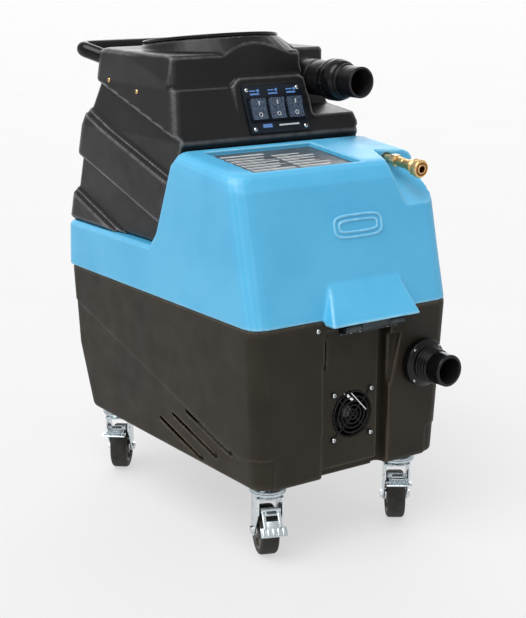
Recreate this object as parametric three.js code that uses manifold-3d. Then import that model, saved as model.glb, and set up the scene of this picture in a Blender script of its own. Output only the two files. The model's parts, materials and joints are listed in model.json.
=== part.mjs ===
// Spot extractor: a small heated carpet and upholstery cleaner on four casters.
// A black base carries the motors. A blue solution tank sits on it and a black recovery tank
// sits on that, and both tanks tilt forward together on a hinge for service.
// Millimetres, +Z up, the front faces -Y, and the wheels stand on z = 0.

import * as THREE from 'three';
import { mergeVertices } from 'three/addons/utils/BufferGeometryUtils.js';
import Module from 'manifold-3d';

const wasm = await Module();
wasm.setup();

// ---------------------------------------------------------------- driving dimensions
const GAP = 0.3; // clearance between parts that touch
const FRONT_SHIFT = 9.9; // moves the base centre back, which centres the whole machine on y = 0

const BASE = { bottom: 126, top: 385, halfWidth: 193, front: -289, rear: 296, wall: 5 };
const SIDE_LEAN = 0.0545; // how fast the base narrows towards the floor, mm per mm
const BLUE = { wall: 5, frontLean: 0.229, stepTop: 466, lowRear: 307, round: 20 };
const DECK = { z: 610, y: -238, slope: 0.103 }; // the deck rises towards the back
const BLUE_REAR = { y: -5, z: 490, lean: 0.4203 }; // back wall of the tall part of the solution tank
const TANK = {
  wall: 5, bottom: 466.4, ridge: 717, top: 770, rear: 219, rearLean: 0.31, half: 168, skirt: 187,
};
const GROOVE = { deep: 12, shallow: 6, ledge: 8, front: -80, at: 225 };
const LID = { x: -12, y: 104, z: 788, tilt: 7, neck: 110, mouth: 104 }; // the lid leans back
const COLLAR = { bore: 98, rim: 114, seat: 106, seatDepth: 4, depth: 5.7 };
const INLET = { x: 121, z: 723, wallY: 26, bore: 20, body: 31.5, nut: 35, tube: 25.5, mouthY: -140 };
const PORT = { x: 133, z: 290, bore: 21, tube: 26, flange: 39, mouthY: -357 };
const FAN = { x: 0, z: 224, opening: 38, screw: 36.8, frame: 40 };
const PANEL = { x: 17, y: -47.6, z: 679, lean: 24, width: 118, height: 80, thick: 3 };
const ROCKER = { pitch: 36, pivotY: -3, rest: 7 };
const STANDPIPE = { x: 60, y: 120, outer: 24, bore: 20, hole: 28, flange: 33, top: 690 };
const DRAIN = { x: -90, z: 492, hole: 15, flange: 20 };
const QD = { x: 150, y: -180, z: 603, droop: 6 };
const POWER = { z: 271, wallY: 296 };
const HINGE = { y: -302, z: 371, pin: 3.5, knuckle: 7 };
const CASTER = { x: 131, y: 237, wheel: 40, width: 30, trail: 16, pedalY: -20, pedalZ: 88 };
const CASTER_TURN = { front_left: -22, front_right: -35, rear_left: -40, rear_right: 20 };

const COLOURS = {
  charcoal: [0x2f2c29, 0.62, 0],
  tankBlack: [0x2a2826, 0.5, 0],
  blue: [0x6ec4e8, 0.45, 0],
  gloss: [0x141414, 0.25, 0],
  navy: [0x14202c, 0.4, 0],
  boot: [0x4d5663, 0.55, 0],
  zinc: [0xc9d0d4, 0.35, 0.9],
  steel: [0xb4b8ba, 0.3, 1],
  brass: [0xd2ab5f, 0.28, 1],
  rubber: [0x2c2c2b, 0.8, 0],
  smoke: [0x1b1c1e, 0.2, 0],
  cast: [0x8b9094, 0.55, 0.8],
  label: [0x46484b, 0.6, 0],
  red: [0xb3261e, 0.4, 0],
  white: [0xe4e2dc, 0.4, 0],
};

// ---------------------------------------------------------------- solids
function solid(geometry) {
  const bare = geometry.clone();
  bare.deleteAttribute('normal');
  bare.deleteAttribute('uv');
  const merged = mergeVertices(bare, 1e-3);
  const corners = [];
  const index = merged.index.array;
  for (let i = 0; i < index.length; i += 3) {
    const [a, b, c] = [index[i], index[i + 1], index[i + 2]];
    if (a !== b && b !== c && c !== a) corners.push(a, b, c);
  }
  return new wasm.Manifold(new wasm.Mesh({
    numProp: 3,
    vertProperties: new Float32Array(merged.attributes.position.array),
    triVerts: new Uint32Array(corners),
  }));
}

function surface(body) {
  const { vertProperties, triVerts } = body.getMesh();
  const geometry = new THREE.BufferGeometry();
  geometry.setAttribute('position', new THREE.BufferAttribute(vertProperties, 3));
  geometry.setIndex(new THREE.BufferAttribute(triVerts, 1));
  geometry.computeVertexNormals();
  return geometry;
}

const union = (...bodies) => bodies.reduce((all, body) => all.add(body));

// The one real piece of a cut body, without the paper-thin slivers that grazing cuts leave.
function main(body) {
  return body.decompose().reduce((best, piece) => (piece.volume() > best.volume() ? piece : best));
}

function box(x0, x1, y0, y1, z0, z1) {
  const geometry = new THREE.BoxGeometry(x1 - x0, y1 - y0, z1 - z0);
  geometry.translate((x0 + x1) / 2, (y0 + y1) / 2, (z0 + z1) / 2);
  return solid(geometry);
}

// Turns a shape made along +Z so that +Z becomes the named axis, then moves it.
function aim(geometry, axis, [x, y, z]) {
  if (axis === 'x') geometry.rotateY(Math.PI / 2);
  if (axis === 'y') geometry.rotateX(-Math.PI / 2);
  geometry.translate(x, y, z);
  return geometry;
}

// A cylinder from the given start point along the axis.
function rod(radius, length, axis, start, segments = 24, endRadius = radius) {
  const geometry = new THREE.CylinderGeometry(endRadius, radius, length, segments);
  geometry.rotateX(Math.PI / 2);
  geometry.translate(0, 0, length / 2);
  return solid(aim(geometry, axis, start));
}

// A turned piece: the profile is a list of [radius, distance along the axis], in either direction.
function turned(profile, axis, start, segments = 24) {
  const points = profile.map(([r, h]) => new THREE.Vector2(r, h));
  if (THREE.ShapeUtils.isClockWise(points)) points.reverse();
  if (points[0].x > 0) points.push(points[0].clone());
  const geometry = new THREE.LatheGeometry(points, segments);
  geometry.rotateX(Math.PI / 2);
  return solid(aim(geometry, axis, start));
}

// A flat outline in the YZ plane, as thick as x0 to x1.
function plateX(outline, x0, x1) {
  const shape = new THREE.Shape(outline.map(([y, z]) => new THREE.Vector2(y, z)));
  const geometry = new THREE.ExtrudeGeometry(shape, { depth: x1 - x0, bevelEnabled: false });
  geometry.rotateZ(Math.PI / 2);
  geometry.rotateY(Math.PI / 2);
  geometry.translate(x0, 0, 0);
  return solid(geometry);
}

// A flat outline in the XY plane, from z0 to z1.
function plateZ(outline, z0, z1) {
  const shape = new THREE.Shape(outline.map(([x, y]) => new THREE.Vector2(x, y)));
  const geometry = new THREE.ExtrudeGeometry(shape, { depth: z1 - z0, bevelEnabled: false });
  geometry.translate(0, 0, z0);
  return solid(geometry);
}

function tubeAlong(points, outer, bore, sides, steps) {
  const path = new THREE.CatmullRomCurve3(points.map((p) => new THREE.Vector3(...p)), false, 'centripetal');
  const shape = new THREE.Shape();
  shape.absarc(0, 0, outer, 0, 2 * Math.PI, false);
  if (bore > 0) {
    const hole = new THREE.Path();
    hole.absarc(0, 0, bore, 0, 2 * Math.PI, true);
    shape.holes.push(hole);
  }
  return solid(new THREE.ExtrudeGeometry(shape, { extrudePath: path, steps, curveSegments: sides / 2 }));
}

// One level of a lofted casing: a rectangle with round corners at height z, which may vary with y.
function level({ z, half, front, rear, rFront = 34, rRear = 34, left = -half, right = half }, arc = 4) {
  const points = [];
  const corner = (cx, cy, r, start) => {
    for (let i = 0; i <= arc; i += 1) {
      const angle = ((start + (90 * i) / arc) * Math.PI) / 180;
      points.push([cx + r * Math.cos(angle), cy + r * Math.sin(angle)]);
    }
  };
  corner(right - rFront, front + rFront, rFront, -90);
  corner(right - rRear, rear - rRear, rRear, 0);
  corner(left + rRear, rear - rRear, rRear, 90);
  corner(left + rFront, front + rFront, rFront, 180);
  return points.map(([x, y]) => new THREE.Vector3(x, y, typeof z === 'function' ? z(y) : z));
}

function loft(levels, arc = 4) {
  const rings = levels.map((one) => level(one, arc));
  const count = rings[0].length;
  const points = rings.flat();
  const index = [];
  for (let k = 0; k + 1 < rings.length; k += 1) {
    for (let j = 0; j < count; j += 1) {
      const a = k * count + j;
      const b = k * count + ((j + 1) % count);
      index.push(a, b, b + count, a, b + count, a + count);
    }
  }
  const middle = (ring) => ring.reduce((sum, p) => sum.add(p), new THREE.Vector3()).divideScalar(count);
  const bottom = points.push(middle(rings[0])) - 1;
  const top = points.push(middle(rings.at(-1))) - 1;
  const last = (rings.length - 1) * count;
  for (let j = 0; j < count; j += 1) {
    const next = (j + 1) % count;
    index.push(bottom, next, j, top, last + j, last + next);
  }
  const geometry = new THREE.BufferGeometry().setFromPoints(points);
  geometry.setIndex(index);
  return solid(geometry);
}

const lift = (z, by) => (typeof z === 'function' ? (y) => z(y) + by : z + by);

// The same levels moved inwards by the wall thickness, floor and roof as well. A level on a rounded
// edge carries its angle above the horizontal as `turn`, and moves in that direction.
function shrink(levels, wall) {
  const tight = (r) => Math.max((r ?? 34) - wall, 2);
  const rise = (k) => (k === 0 ? wall : 0) - (k === levels.length - 1 ? wall : 0);
  return levels.map((one, k) => {
    const rounded = one.turn !== undefined;
    const inward = rounded ? wall * Math.cos(one.turn) : wall;
    return {
      ...one,
      z: lift(one.z, rounded ? -wall * Math.sin(one.turn) : rise(k)),
      half: one.half - inward,
      front: one.front + inward,
      rear: one.rear - wall,
      rFront: tight(one.rFront),
      rRear: tight(one.rRear),
    };
  });
}

// A closed hull over two rings of the same number of points, lower ring first.
function wedge(lower, upper) {
  const count = lower.length;
  const points = [...lower, ...upper].map((p) => new THREE.Vector3(...p));
  const index = [];
  for (let j = 0; j < count; j += 1) {
    const next = (j + 1) % count;
    index.push(j, next, next + count, j, next + count, j + count);
  }
  for (let j = 1; j + 1 < count; j += 1) index.push(0, j + 1, j, count, count + j, count + j + 1);
  const geometry = new THREE.BufferGeometry().setFromPoints(points);
  geometry.setIndex(index);
  return solid(geometry);
}

// ---------------------------------------------------------------- scene helpers
const machine = new THREE.Group();
machine.position.y = FRONT_SHIFT;

function place(name, body, look, parent = machine) {
  const [color, roughness, metalness] = COLOURS[look];
  const mesh = new THREE.Mesh(surface(body), new THREE.MeshStandardMaterial({ color, roughness, metalness }));
  mesh.name = name;
  parent.add(mesh);
  return mesh;
}

function spot(x, y, z, tiltX = 0, turnZ = 0) {
  const group = new THREE.Group();
  group.position.set(x, y, z);
  group.rotation.set((tiltX * Math.PI) / 180, 0, (turnZ * Math.PI) / 180, 'ZXY');
  machine.add(group);
  return group;
}

// ---------------------------------------------------------------- base housing
const baseHalf = (z) => BASE.halfWidth - (BASE.top - z) * SIDE_LEAN;
const baseFront = (z) => BASE.front + (BASE.top - z) * 0.0225;
const BASE_CORNER = { front: 26, rear: 24 };
const REAR_BEND = 242; // below this height the back wall slopes in
const baseRear = (z) => BASE.rear - Math.max(0, REAR_BEND - z) * 0.29;

function baseLevels() {
  const at = (z, inset = 0) => ({
    z,
    half: baseHalf(z) - inset,
    front: baseFront(z) + inset,
    rear: baseRear(z) - inset,
    rFront: BASE_CORNER.front,
    rRear: BASE_CORNER.rear,
  });
  return [at(BASE.bottom, 4), at(BASE.bottom + 5), at(REAR_BEND), at(BASE.top)];
}

// A slanted louvre slot through a side wall, with its lower end towards the front.
function louvre(y, z, side) {
  const slot = new THREE.BoxGeometry(40, 138, 6);
  slot.rotateX((15.6 * Math.PI) / 180);
  slot.translate(side * 180, y, z);
  return solid(slot);
}

function baseHousing() {
  const levels = baseLevels();
  const outer = loft(levels);
  const core = shrink(levels, BASE.wall);
  const hollow = loft([{ ...core[1], z: BASE.bottom + 6 }, core[2], { ...core[3], z: BASE.top + 1 }]);
  const creaseLine = [[320, 334], [320, 100], [-300, 100], [-300, 176], [-280, 178], [-234, 172]];
  const crease = plateX(creaseLine, -300, 300);
  const skin = crease.subtract(loft(shrink(levels, 1.6)));
  const sidesOnly = box(-150, 150, -400, 400, 0, 500);
  let body = outer.subtract(skin.subtract(sidesOnly)).subtract(hollow);
  // Thicker front wall behind the recessed fan panel and the deep upright groove.
  const backing = union(
    box(-68, 98, -286, -268, BASE.bottom + 5, 376),
    box(42, 98, -286, -254, BASE.bottom + 5, 374),
    box(-68, 98, -286, -260, BASE.bottom + 5, 152),
  );
  body = body.add(backing.intersect(loft(shrink(levels, 1.2))));
  const panel = union(box(-60, 50, -300, -280.5, 110, 366), box(-60, 50, -300, -268, 110, 141));
  const groove = plateZ([[50, -300], [50, -268], [54, -262], [66, -262], [70, -268], [70, -300]], 110, 366);
  const notch = box(-60, -52, -300, -274, 304, 352);
  const flare = wedge(
    [[68, -300, 262], [72, -300, 262], [72, -279, 262], [68, -279, 262]],
    [[68, -300, 345], [90, -300, 345], [90, -279, 345], [68, -279, 345]],
  );
  body = body.subtract(panel).subtract(groove).subtract(notch).subtract(flare);
  body = body.subtract(rod(FAN.opening, 40, 'y', [FAN.x, -300, FAN.z], 32));
  body = body.subtract(rod(24, 60, 'y', [PORT.x, -300, PORT.z], 32));
  for (const side of [-1, 1]) {
    for (let k = 0; k < 3; k += 1) body = body.subtract(louvre(-56 - 43 * k, 155 + 17.4 * k, side));
    body = body.subtract(box(side * 60 - 16, side * 60 + 16, 260, 320, POWER.z - 13, POWER.z + 13));
  }
  return body;
}

place('base_housing', baseHousing(), 'charcoal');

// ---------------------------------------------------------------- solution tank
const deckAt = (y) => DECK.z + DECK.slope * (y - DECK.y);
const blueFront = (z) => BASE.front + BLUE.frontLean * (z - BASE.top);
const blueRear = (z) => BLUE_REAR.y - (z - BLUE_REAR.z) * BLUE_REAR.lean;
const blueFloor = BASE.top + GAP;

function lowBlue(wall) {
  const edge = 5;
  const half = BASE.halfWidth;
  const front = blueFront(BLUE.stepTop);
  const rear = BLUE.lowRear - 4;
  const rows = [
    { z: blueFloor, half, front: BASE.front, rear: BLUE.lowRear },
    { z: BLUE.stepTop - edge, half, front, rear },
    { z: BLUE.stepTop, half: half - edge, front: front + edge, rear: rear - edge },
  ].map((row) => ({ ...row, rFront: BASE_CORNER.front, rRear: BASE_CORNER.rear }));
  return loft(shrink(rows, wall));
}

function tallBlue(wall) {
  const soft = { half: BASE.halfWidth, rFront: 28, rRear: 12 };
  // The edge of the deck is a quarter round, flatter at the back where the recovery tank covers it.
  const edge = (angle) => {
    const turn = (angle * Math.PI) / 180;
    const inset = BLUE.round * (1 - Math.cos(turn));
    const drop = BLUE.round * (1 - Math.sin(turn));
    return {
      ...soft,
      turn,
      z: (y) => deckAt(y) - drop,
      half: BASE.halfWidth - inset,
      front: blueFront(DECK.z) + inset,
      rear: blueRear(628) - inset * 0.4,
    };
  };
  const rows = [
    { ...soft, z: blueFloor, front: BASE.front, rear: 30, rFront: 26 },
    { ...soft, z: BLUE.stepTop + 2, front: blueFront(468), rear: 14 },
    { ...soft, z: BLUE_REAR.z, front: blueFront(490), rear: BLUE_REAR.y },
    { ...soft, z: (y) => deckAt(y) - 24, front: blueFront(588), rear: blueRear(604) },
  ];
  return loft(shrink([...rows, edge(22.5), edge(45), edge(67.5), edge(90)], wall));
}

// The shallow tray in the deck that holds the fill cover.
const TRAY = { x0: -145, x1: 60, y0: -219, y1: -85, depth: 10 };
const DECK_TILT = Math.atan(DECK.slope);

function trayBox(grow, depth, above) {
  const width = TRAY.x1 - TRAY.x0 + 2 * grow;
  const length = TRAY.y1 - TRAY.y0 + 2 * grow;
  const geometry = new THREE.BoxGeometry(width, length, depth + above);
  geometry.translate(0, 0, (above - depth) / 2);
  geometry.rotateX(DECK_TILT);
  const y = (TRAY.y0 + TRAY.y1) / 2;
  geometry.translate((TRAY.x0 + TRAY.x1) / 2, y, deckAt(y));
  return solid(geometry);
}

// The bevelled corner where the solution fitting comes out.
function fittingCorner(grow = 0) {
  return wedge(
    [[142 - grow, -168 + grow, 585 - grow], [116 - grow, -300, 516 - grow],
      [230, -300, 516 - grow], [230, -200 + grow, 585 - grow]],
    [[112 - grow, -163 + grow, 650], [48 - grow, -300, 650], [230, -300, 650], [230, -198 + grow, 650]],
  );
}

// The wedge-shaped cover over the service hinge, with its underside open to the hinge leaf.
function hingeCover() {
  return wedge(
    [[-68, -260, 378], [-64, -316, 378], [108, -316, 378], [112, -260, 378]],
    [[-46, -250, 438], [-45, -277.4, 438], [91, -277.4, 438], [92, -250, 438]],
  );
}

const OPENING = { x: -42, y: -152, width: 104, length: 84 };

// The fill opening in the floor of the tray.
function fillOpening() {
  const { x, y, width, length } = OPENING;
  return box(x - width / 2, x + width / 2, y - length / 2, y + length / 2, 585, 640);
}

function solutionTank() {
  const outer = union(lowBlue(0), tallBlue(0));
  const inner = union(lowBlue(BLUE.wall), tallBlue(BLUE.wall));
  const middle = union(lowBlue(BLUE.wall / 3), tallBlue(BLUE.wall / 3));
  let body = outer.subtract(inner);
  body = body.add(union(trayBox(5, TRAY.depth + 5, 0), fittingCorner(6)).intersect(middle));
  body = body.add(hingeCover().subtract(box(-200, 200, -289.8, -240, 370, BASE.top + GAP)));
  const duct = (radius, z0, z1) => rod(radius, z1 - z0, 'z', [STANDPIPE.x, STANDPIPE.y, z0], 24);
  body = body.add(duct(STANDPIPE.hole + 6, blueFloor + 1, BLUE.stepTop - 1));
  body = body.subtract(duct(STANDPIPE.hole, blueFloor - 10, BLUE.stepTop + 10));
  body = body.subtract(trayBox(0, TRAY.depth, 20)).subtract(fittingCorner());
  body = body.subtract(fillOpening());
  body = body.subtract(box(-40, 84, -309.5, -288.6, 360, BASE.top + 2.5));
  return body.subtract(rod(8, 60, 'y', [QD.x, -190, QD.z], 20));
}

place('solution_tank', solutionTank(), 'blue');

// Fill cover: lies in the tray over the fill opening and carries the label.
const trayFloor = spot(
  (TRAY.x0 + TRAY.x1) / 2,
  (TRAY.y0 + TRAY.y1) / 2 + Math.sin(DECK_TILT) * (TRAY.depth - GAP),
  deckAt((TRAY.y0 + TRAY.y1) / 2) - Math.cos(DECK_TILT) * (TRAY.depth - GAP),
  (DECK_TILT * 180) / Math.PI,
);
const coverHalf = [(TRAY.x1 - TRAY.x0) / 2 - 1, (TRAY.y1 - TRAY.y0) / 2 - 1];
const plug = box(-48, 48, -34, 34, -8, 0.5).subtract(box(-45, 45, -31, 31, -9, -0.1));
place('fill_cover', union(box(-coverHalf[0], coverHalf[0], -coverHalf[1], coverHalf[1], 0, 3), plug)
  .subtract(rod(9, 20, 'z', [coverHalf[0] - 16, 0, 1.2])), 'label', trayFloor);

// ---------------------------------------------------------------- recovery tank
const CLEAR = 1.2; // clearance between the recovery tank and the solution tank's back wall

function tankRows() {
  const rear = (z) => TANK.rear + (TANK.top - z) * TANK.rearLean;
  const row = (z, half, front, inset = 0) => ({
    z, front: front + inset, rear: rear(z) - inset, half: half - inset, rFront: 12, rRear: 24,
  });
  return [
    row(TANK.bottom, TANK.skirt, 22, 5),
    row(TANK.bottom + 5, TANK.skirt, 16 + CLEAR),
    row(BLUE_REAR.z, TANK.skirt, BLUE_REAR.y + CLEAR),
    row(628, TANK.skirt, blueRear(628) + CLEAR),
    row(637, TANK.skirt, -65),
    row(660, TANK.skirt - 5.5, -54.1),
    row(TANK.ridge, TANK.half - 0.5, -27),
    row(TANK.ridge + 2, TANK.half - 0.5, -21.5),
    row(TANK.top - 5, TANK.half, -18),
    row(TANK.top, TANK.half, -18, 6),
  ];
}

// The space of a slanted band round the sides and the back, between two lines that rise towards
// the back. Each line is its height at y = GROOVE.at and its slope.
function band([low, lowSlope], [high, highSlope]) {
  const at = (y, z, slope) => z + (y - GROOVE.at) * slope;
  const [front, back] = [GROOVE.front, 360];
  const outline = [[front, at(front, low, lowSlope)], [back, at(back, low, lowSlope)],
    [back, at(back, high, highSlope)], [front, at(front, high, highSlope)]];
  return plateX(outline, -250, 250);
}

// The tank's outline moved inwards at the sides and less at the back.
function waist(depth) {
  return loft(tankRows().map((row) => ({
    ...row,
    half: row.half - depth,
    rear: row.rear - depth * 0.6,
    rRear: Math.max(row.rRear - depth, 2),
    front: row.front - 60,
  })), 3);
}

// The space outside a slanting flat on the upper front corner. It starts on the line that rises
// from the ridge at the front edge to the top edge further back.
function cornerFlat(side, grow = 0) {
  const across = (y, z) => TANK.half - 0.1335 * (z - 720.6 - 0.327 * (y + 20)) - grow;
  const ring = [[200, 792.5], [-60, 707.5], [-60, 830], [200, 830]];
  const near = ring.map(([y, z]) => [side * across(y, z), y, z]);
  const far = ring.map(([y, z]) => [side * (across(y, z) + 60), y, z]);
  return side < 0 ? wedge(near, far) : wedge(near.reverse(), far.reverse());
}

// A cylinder round the leaning axis of the lid, between two heights measured from the rim.
function aboutLid(radius, low, high) {
  const geometry = new THREE.CylinderGeometry(radius, radius, high - low, 40);
  geometry.rotateX(Math.PI / 2);
  geometry.translate(0, 0, (high + low) / 2);
  geometry.rotateX((-LID.tilt * Math.PI) / 180);
  geometry.translate(LID.x, LID.y, LID.z);
  return solid(geometry);
}

// The raised neck under the lid: its wide foot is level and its rim leans back.
function neck(rows) {
  const sides = 40;
  const lean = (LID.tilt * Math.PI) / 180;
  const [foot, rim] = [[], []];
  for (let i = 0; i < sides; i += 1) {
    const angle = (2 * Math.PI * i) / sides;
    const [c, s] = [Math.cos(angle), Math.sin(angle)];
    const back = LID.neck * s;
    foot.push([3 + 140 * c, 102 + 140 * s, TANK.top - 8]);
    rim.push([LID.x + LID.neck * c, LID.y + back * Math.cos(lean), LID.z - 2 - back * Math.sin(lean)]);
  }
  const top = { ...rows.at(-2), z: TANK.top + 60 };
  return wedge(foot, rim).intersect(loft([{ ...top, z: TANK.top - 20 }, top], 3));
}

function recoveryTank() {
  const rows = tankRows();
  const outer = loft(rows, 3);
  const inner = loft(shrink(rows, TANK.wall), 3);
  const middle = loft(shrink(rows, TANK.wall / 3), 3);
  const grooves = [[[495.4, 0.34], [576.3, 0.3]], [[653.5, 0.3], [716.7, 0.25]]];
  const raise = ([z, slope], by) => [z + by, slope];
  let body = union(outer, neck(rows)).subtract(inner);
  for (const [low, high] of grooves) {
    const backing = band(raise(low, -5), raise(high, 5)).intersect(middle);
    body = body.add(backing.subtract(waist(GROOVE.deep + TANK.wall)));
    body = body.subtract(band(low, high).subtract(waist(GROOVE.shallow)));
    body = body.subtract(band(raise(low, GROOVE.ledge), raise(high, -1.5)).subtract(waist(GROOVE.deep)));
  }
  for (const side of [-1, 1]) {
    body = body.add(cornerFlat(side, 7).intersect(middle)).subtract(cornerFlat(side));
  }
  // Raised hood over the switch panel, up to its own higher ridge.
  const slab = wedge(
    [[-80, -57.8, 650], [120, -57.8, 650], [120, -44, 650], [-80, -44, 650]],
    [[-80, -23, 738], [120, -23, 738], [120, -14, 738], [-80, -14, 738]],
  );
  const outline = [[98, 648], [-59, 648], [-55.5, 719], [-42, 730], [82, 730], [91, 722]];
  const along = (y) => outline.map(([x, z]) => [x, y, z]);
  body = body.add(slab.intersect(wedge(along(-80), along(-12))));
  // Step in the front right corner, where the vacuum inlet comes forward.
  const cornerCut = (grow) => {
    const [right, front, rear] = [260, -120, INLET.wallY + grow];
    const foot = 92 - grow;
    const head = 84 - grow;
    const [low, high] = [657 - grow, 674 - grow];
    return wedge(
      [[foot, front, low], [right, front, low], [right, rear, high], [foot, rear, high]],
      [[head, front, 800], [right, front, 800], [right, rear, 800], [head, rear, 800]],
    );
  };
  body = body.add(cornerCut(TANK.wall).intersect(middle)).subtract(cornerCut(0));
  body = body.subtract(rod(27, 60, 'y', [INLET.x, 0, INLET.z], 32));
  body = body.subtract(aboutLid(LID.mouth, -60, 30));
  body = body.subtract(aboutLid(COLLAR.rim + 0.5, -COLLAR.depth - GAP, 60));
  body = body.subtract(rod(STANDPIPE.hole, 30, 'z', [STANDPIPE.x, STANDPIPE.y, 455], 32));
  body = body.subtract(rod(DRAIN.hole, 60, 'y', [DRAIN.x, 266, DRAIN.z], 24));
  // Flat seat for the switch panel.
  const seat = new THREE.BoxGeometry(PANEL.width + 1, 20, PANEL.height + 1);
  seat.translate(0, -10, 0);
  seat.rotateX((-PANEL.lean * Math.PI) / 180);
  seat.translate(PANEL.x, PANEL.y + 1, PANEL.z);
  return main(body.subtract(solid(seat)));
}

place('recovery_tank', recoveryTank(), 'tankBlack');

// ---------------------------------------------------------------- lid and collar
const lidSpot = spot(LID.x, LID.y, LID.z, -LID.tilt);
place('lid_collar', turned([
  [COLLAR.bore, -COLLAR.depth], [COLLAR.rim - 1.5, -COLLAR.depth], [COLLAR.rim, -4.5], [COLLAR.rim, -1.2],
  [COLLAR.rim - 1.2, 0], [COLLAR.seat, 0], [COLLAR.seat, -COLLAR.seatDepth], [COLLAR.bore, -COLLAR.seatDepth],
], 'z', [0, 0, 0], 40), 'gloss', lidSpot);
const lidEdge = COLLAR.seat - 1;
const lidTop = -0.9;
place('lid', union(
  turned([[0, GAP - COLLAR.seatDepth], [lidEdge, GAP - COLLAR.seatDepth], [lidEdge, lidTop], [99, lidTop],
    [94, -2.4], [0, -2.4]], 'z', [0, 0, 0], 40),
  turned([[0, -9], [94, -9], [97, -3.4], [0, -3.4]], 'z', [0, 0, 0], 40),
  box(-70, 70, -6, 6, -4, lidTop),
  box(-6, 6, -70, 70, -4, lidTop),
), 'smoke', lidSpot);

// ---------------------------------------------------------------- handle
function handle() {
  const side = [[140, 229, 750], [147, 245, 755], [160, 265, 763], [153, 277, 765], [134, 279, 765]];
  const path = [...side, [0, 279, 765], ...[...side].reverse().map(([x, y, z]) => [-x, y, z])];
  let body = tubeAlong(path, 13.5, 0, 12, 22);
  for (const x of [-140, 140]) {
    const flange = new THREE.CylinderGeometry(19, 19, 5, 16);
    flange.translate(0, 2.5, 0);
    flange.rotateX(Math.atan(TANK.rearLean));
    flange.translate(x > 0 ? x - 6 : x + 6, 226.5, 750);
    body = body.add(solid(flange));
  }
  return body;
}

place('handle', handle(), 'gloss');

// ---------------------------------------------------------------- vacuum inlet
place('inlet_body', turned([
  [INLET.bore, -57], [27, -57], [30, -54], [30, 12], [INLET.body, 14], [INLET.body, INLET.wallY - 0.5],
  [23.4, INLET.wallY - 0.5], [23.4, 44], [INLET.bore, 44],
], 'y', [INLET.x, 0, INLET.z], 24), 'tankBlack');
place('inlet_nut', turned([
  [INLET.bore, -97], [29, -97], [32, -93], [INLET.nut, -82], [INLET.nut, -66], [33, -60], [31.5, -57 - GAP],
  [INLET.bore, -57 - GAP],
], 'y', [INLET.x, 0, INLET.z], 24), 'gloss');
place('inlet_spout', turned([
  [22, INLET.mouthY], [INLET.tube - 0.8, INLET.mouthY], [INLET.tube, INLET.mouthY + 1], [INLET.tube, -104],
  [28, -102], [28, -97 - GAP], [INLET.bore, -97 - GAP], [22, -104],
], 'y', [INLET.x, 0, INLET.z], 24), 'tankBlack');

// ---------------------------------------------------------------- switch panel
const consoleSpot = spot(PANEL.x, PANEL.y + 0.7, PANEL.z, -PANEL.lean);
const panelHalf = [PANEL.width / 2, PANEL.height / 2];
let panelBody = box(-panelHalf[0], panelHalf[0], -PANEL.thick, 0, -panelHalf[1], panelHalf[1]);
for (const k of [-1, 0, 1]) {
  const x = k * ROCKER.pitch;
  panelBody = panelBody.add(box(x - 17, x + 17, -6, -1, -20, 20));
  panelBody = panelBody.subtract(box(x - 15.6, x + 15.6, -9, 4, -18.6, 18.6));
}
for (const x of [-50, 50]) {
  for (const z of [-33, 33]) panelBody = panelBody.subtract(rod(2.2, 10, 'y', [x, -6, z], 12));
}
place('switch_panel', panelBody, 'navy', consoleSpot);

const ROCKER_NAMES = ['heater', 'pump', 'vacuum'];
ROCKER_NAMES.forEach((name, k) => {
  const x = (k - 1) * ROCKER.pitch;
  const upper = [[0.8, 14], [-3.2, 17.5], [-6.5, 17.5], [-4.6, 0]];
  const outline = [...upper, [-6.5, -17.5], [-3.2, -17.5], [0.8, -14]];
  const pivot = new THREE.Group();
  pivot.position.set(x, ROCKER.pivotY, 0);
  pivot.rotation.x = (ROCKER.rest * Math.PI) / 180;
  consoleSpot.add(pivot);
  place(`rocker_${name}`, plateX(outline, -14.6, 14.6), 'boot', pivot);
});

const SCREW_PLACES = {
  top_left: [-50, 33], top_right: [50, 33], bottom_left: [-50, -33], bottom_right: [50, -33],
};
for (const [name, [x, z]] of Object.entries(SCREW_PLACES)) {
  const head = turned([[0, -6], [2.6, -5.6], [4, -4.4], [4, -PANEL.thick - GAP], [1.8, -PANEL.thick - GAP],
    [1.8, -0.2], [0, -0.2]], 'y', [x, 0, z], 10);
  place(`panel_screw_${name}`, head, 'steel', consoleSpot);
}

// ---------------------------------------------------------------- solution fitting
const fitting = spot(QD.x, QD.y, QD.z, QD.droop);
place('solution_fitting', turned([
  [4, 20], [4, -57], [6.2, -59], [6.2, -80], [7.6, -80], [8, -79], [8, -58], [9.5, -56], [9.5, -50], [8, -48],
  [8, -20], [9.4, -19], [9.4, -8], [8, -7], [6, -7], [6, 20],
], 'y', [0, 0, 0], 16), 'brass', fitting);
place('fitting_sleeve', turned([
  [8.5, -79], [13.6, -79], [15, -77], [15, -72], [12.5, -70], [12.5, -65], [14, -63], [8.5, -63],
], 'y', [0, 0, 0], 16), 'brass', fitting);

// ---------------------------------------------------------------- inside the tanks
const pipeFoot = BASE.top - 8;
place('vacuum_standpipe', turned([
  [STANDPIPE.bore, pipeFoot], [STANDPIPE.outer, pipeFoot], [STANDPIPE.outer, TANK.bottom + 5.6],
  [STANDPIPE.flange, TANK.bottom + 5.6], [STANDPIPE.flange, TANK.bottom + 9],
  [STANDPIPE.outer, TANK.bottom + 9],
  [STANDPIPE.outer, STANDPIPE.top], [STANDPIPE.bore, STANDPIPE.top],
], 'z', [STANDPIPE.x, STANDPIPE.y, 0], 16), 'white');

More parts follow.
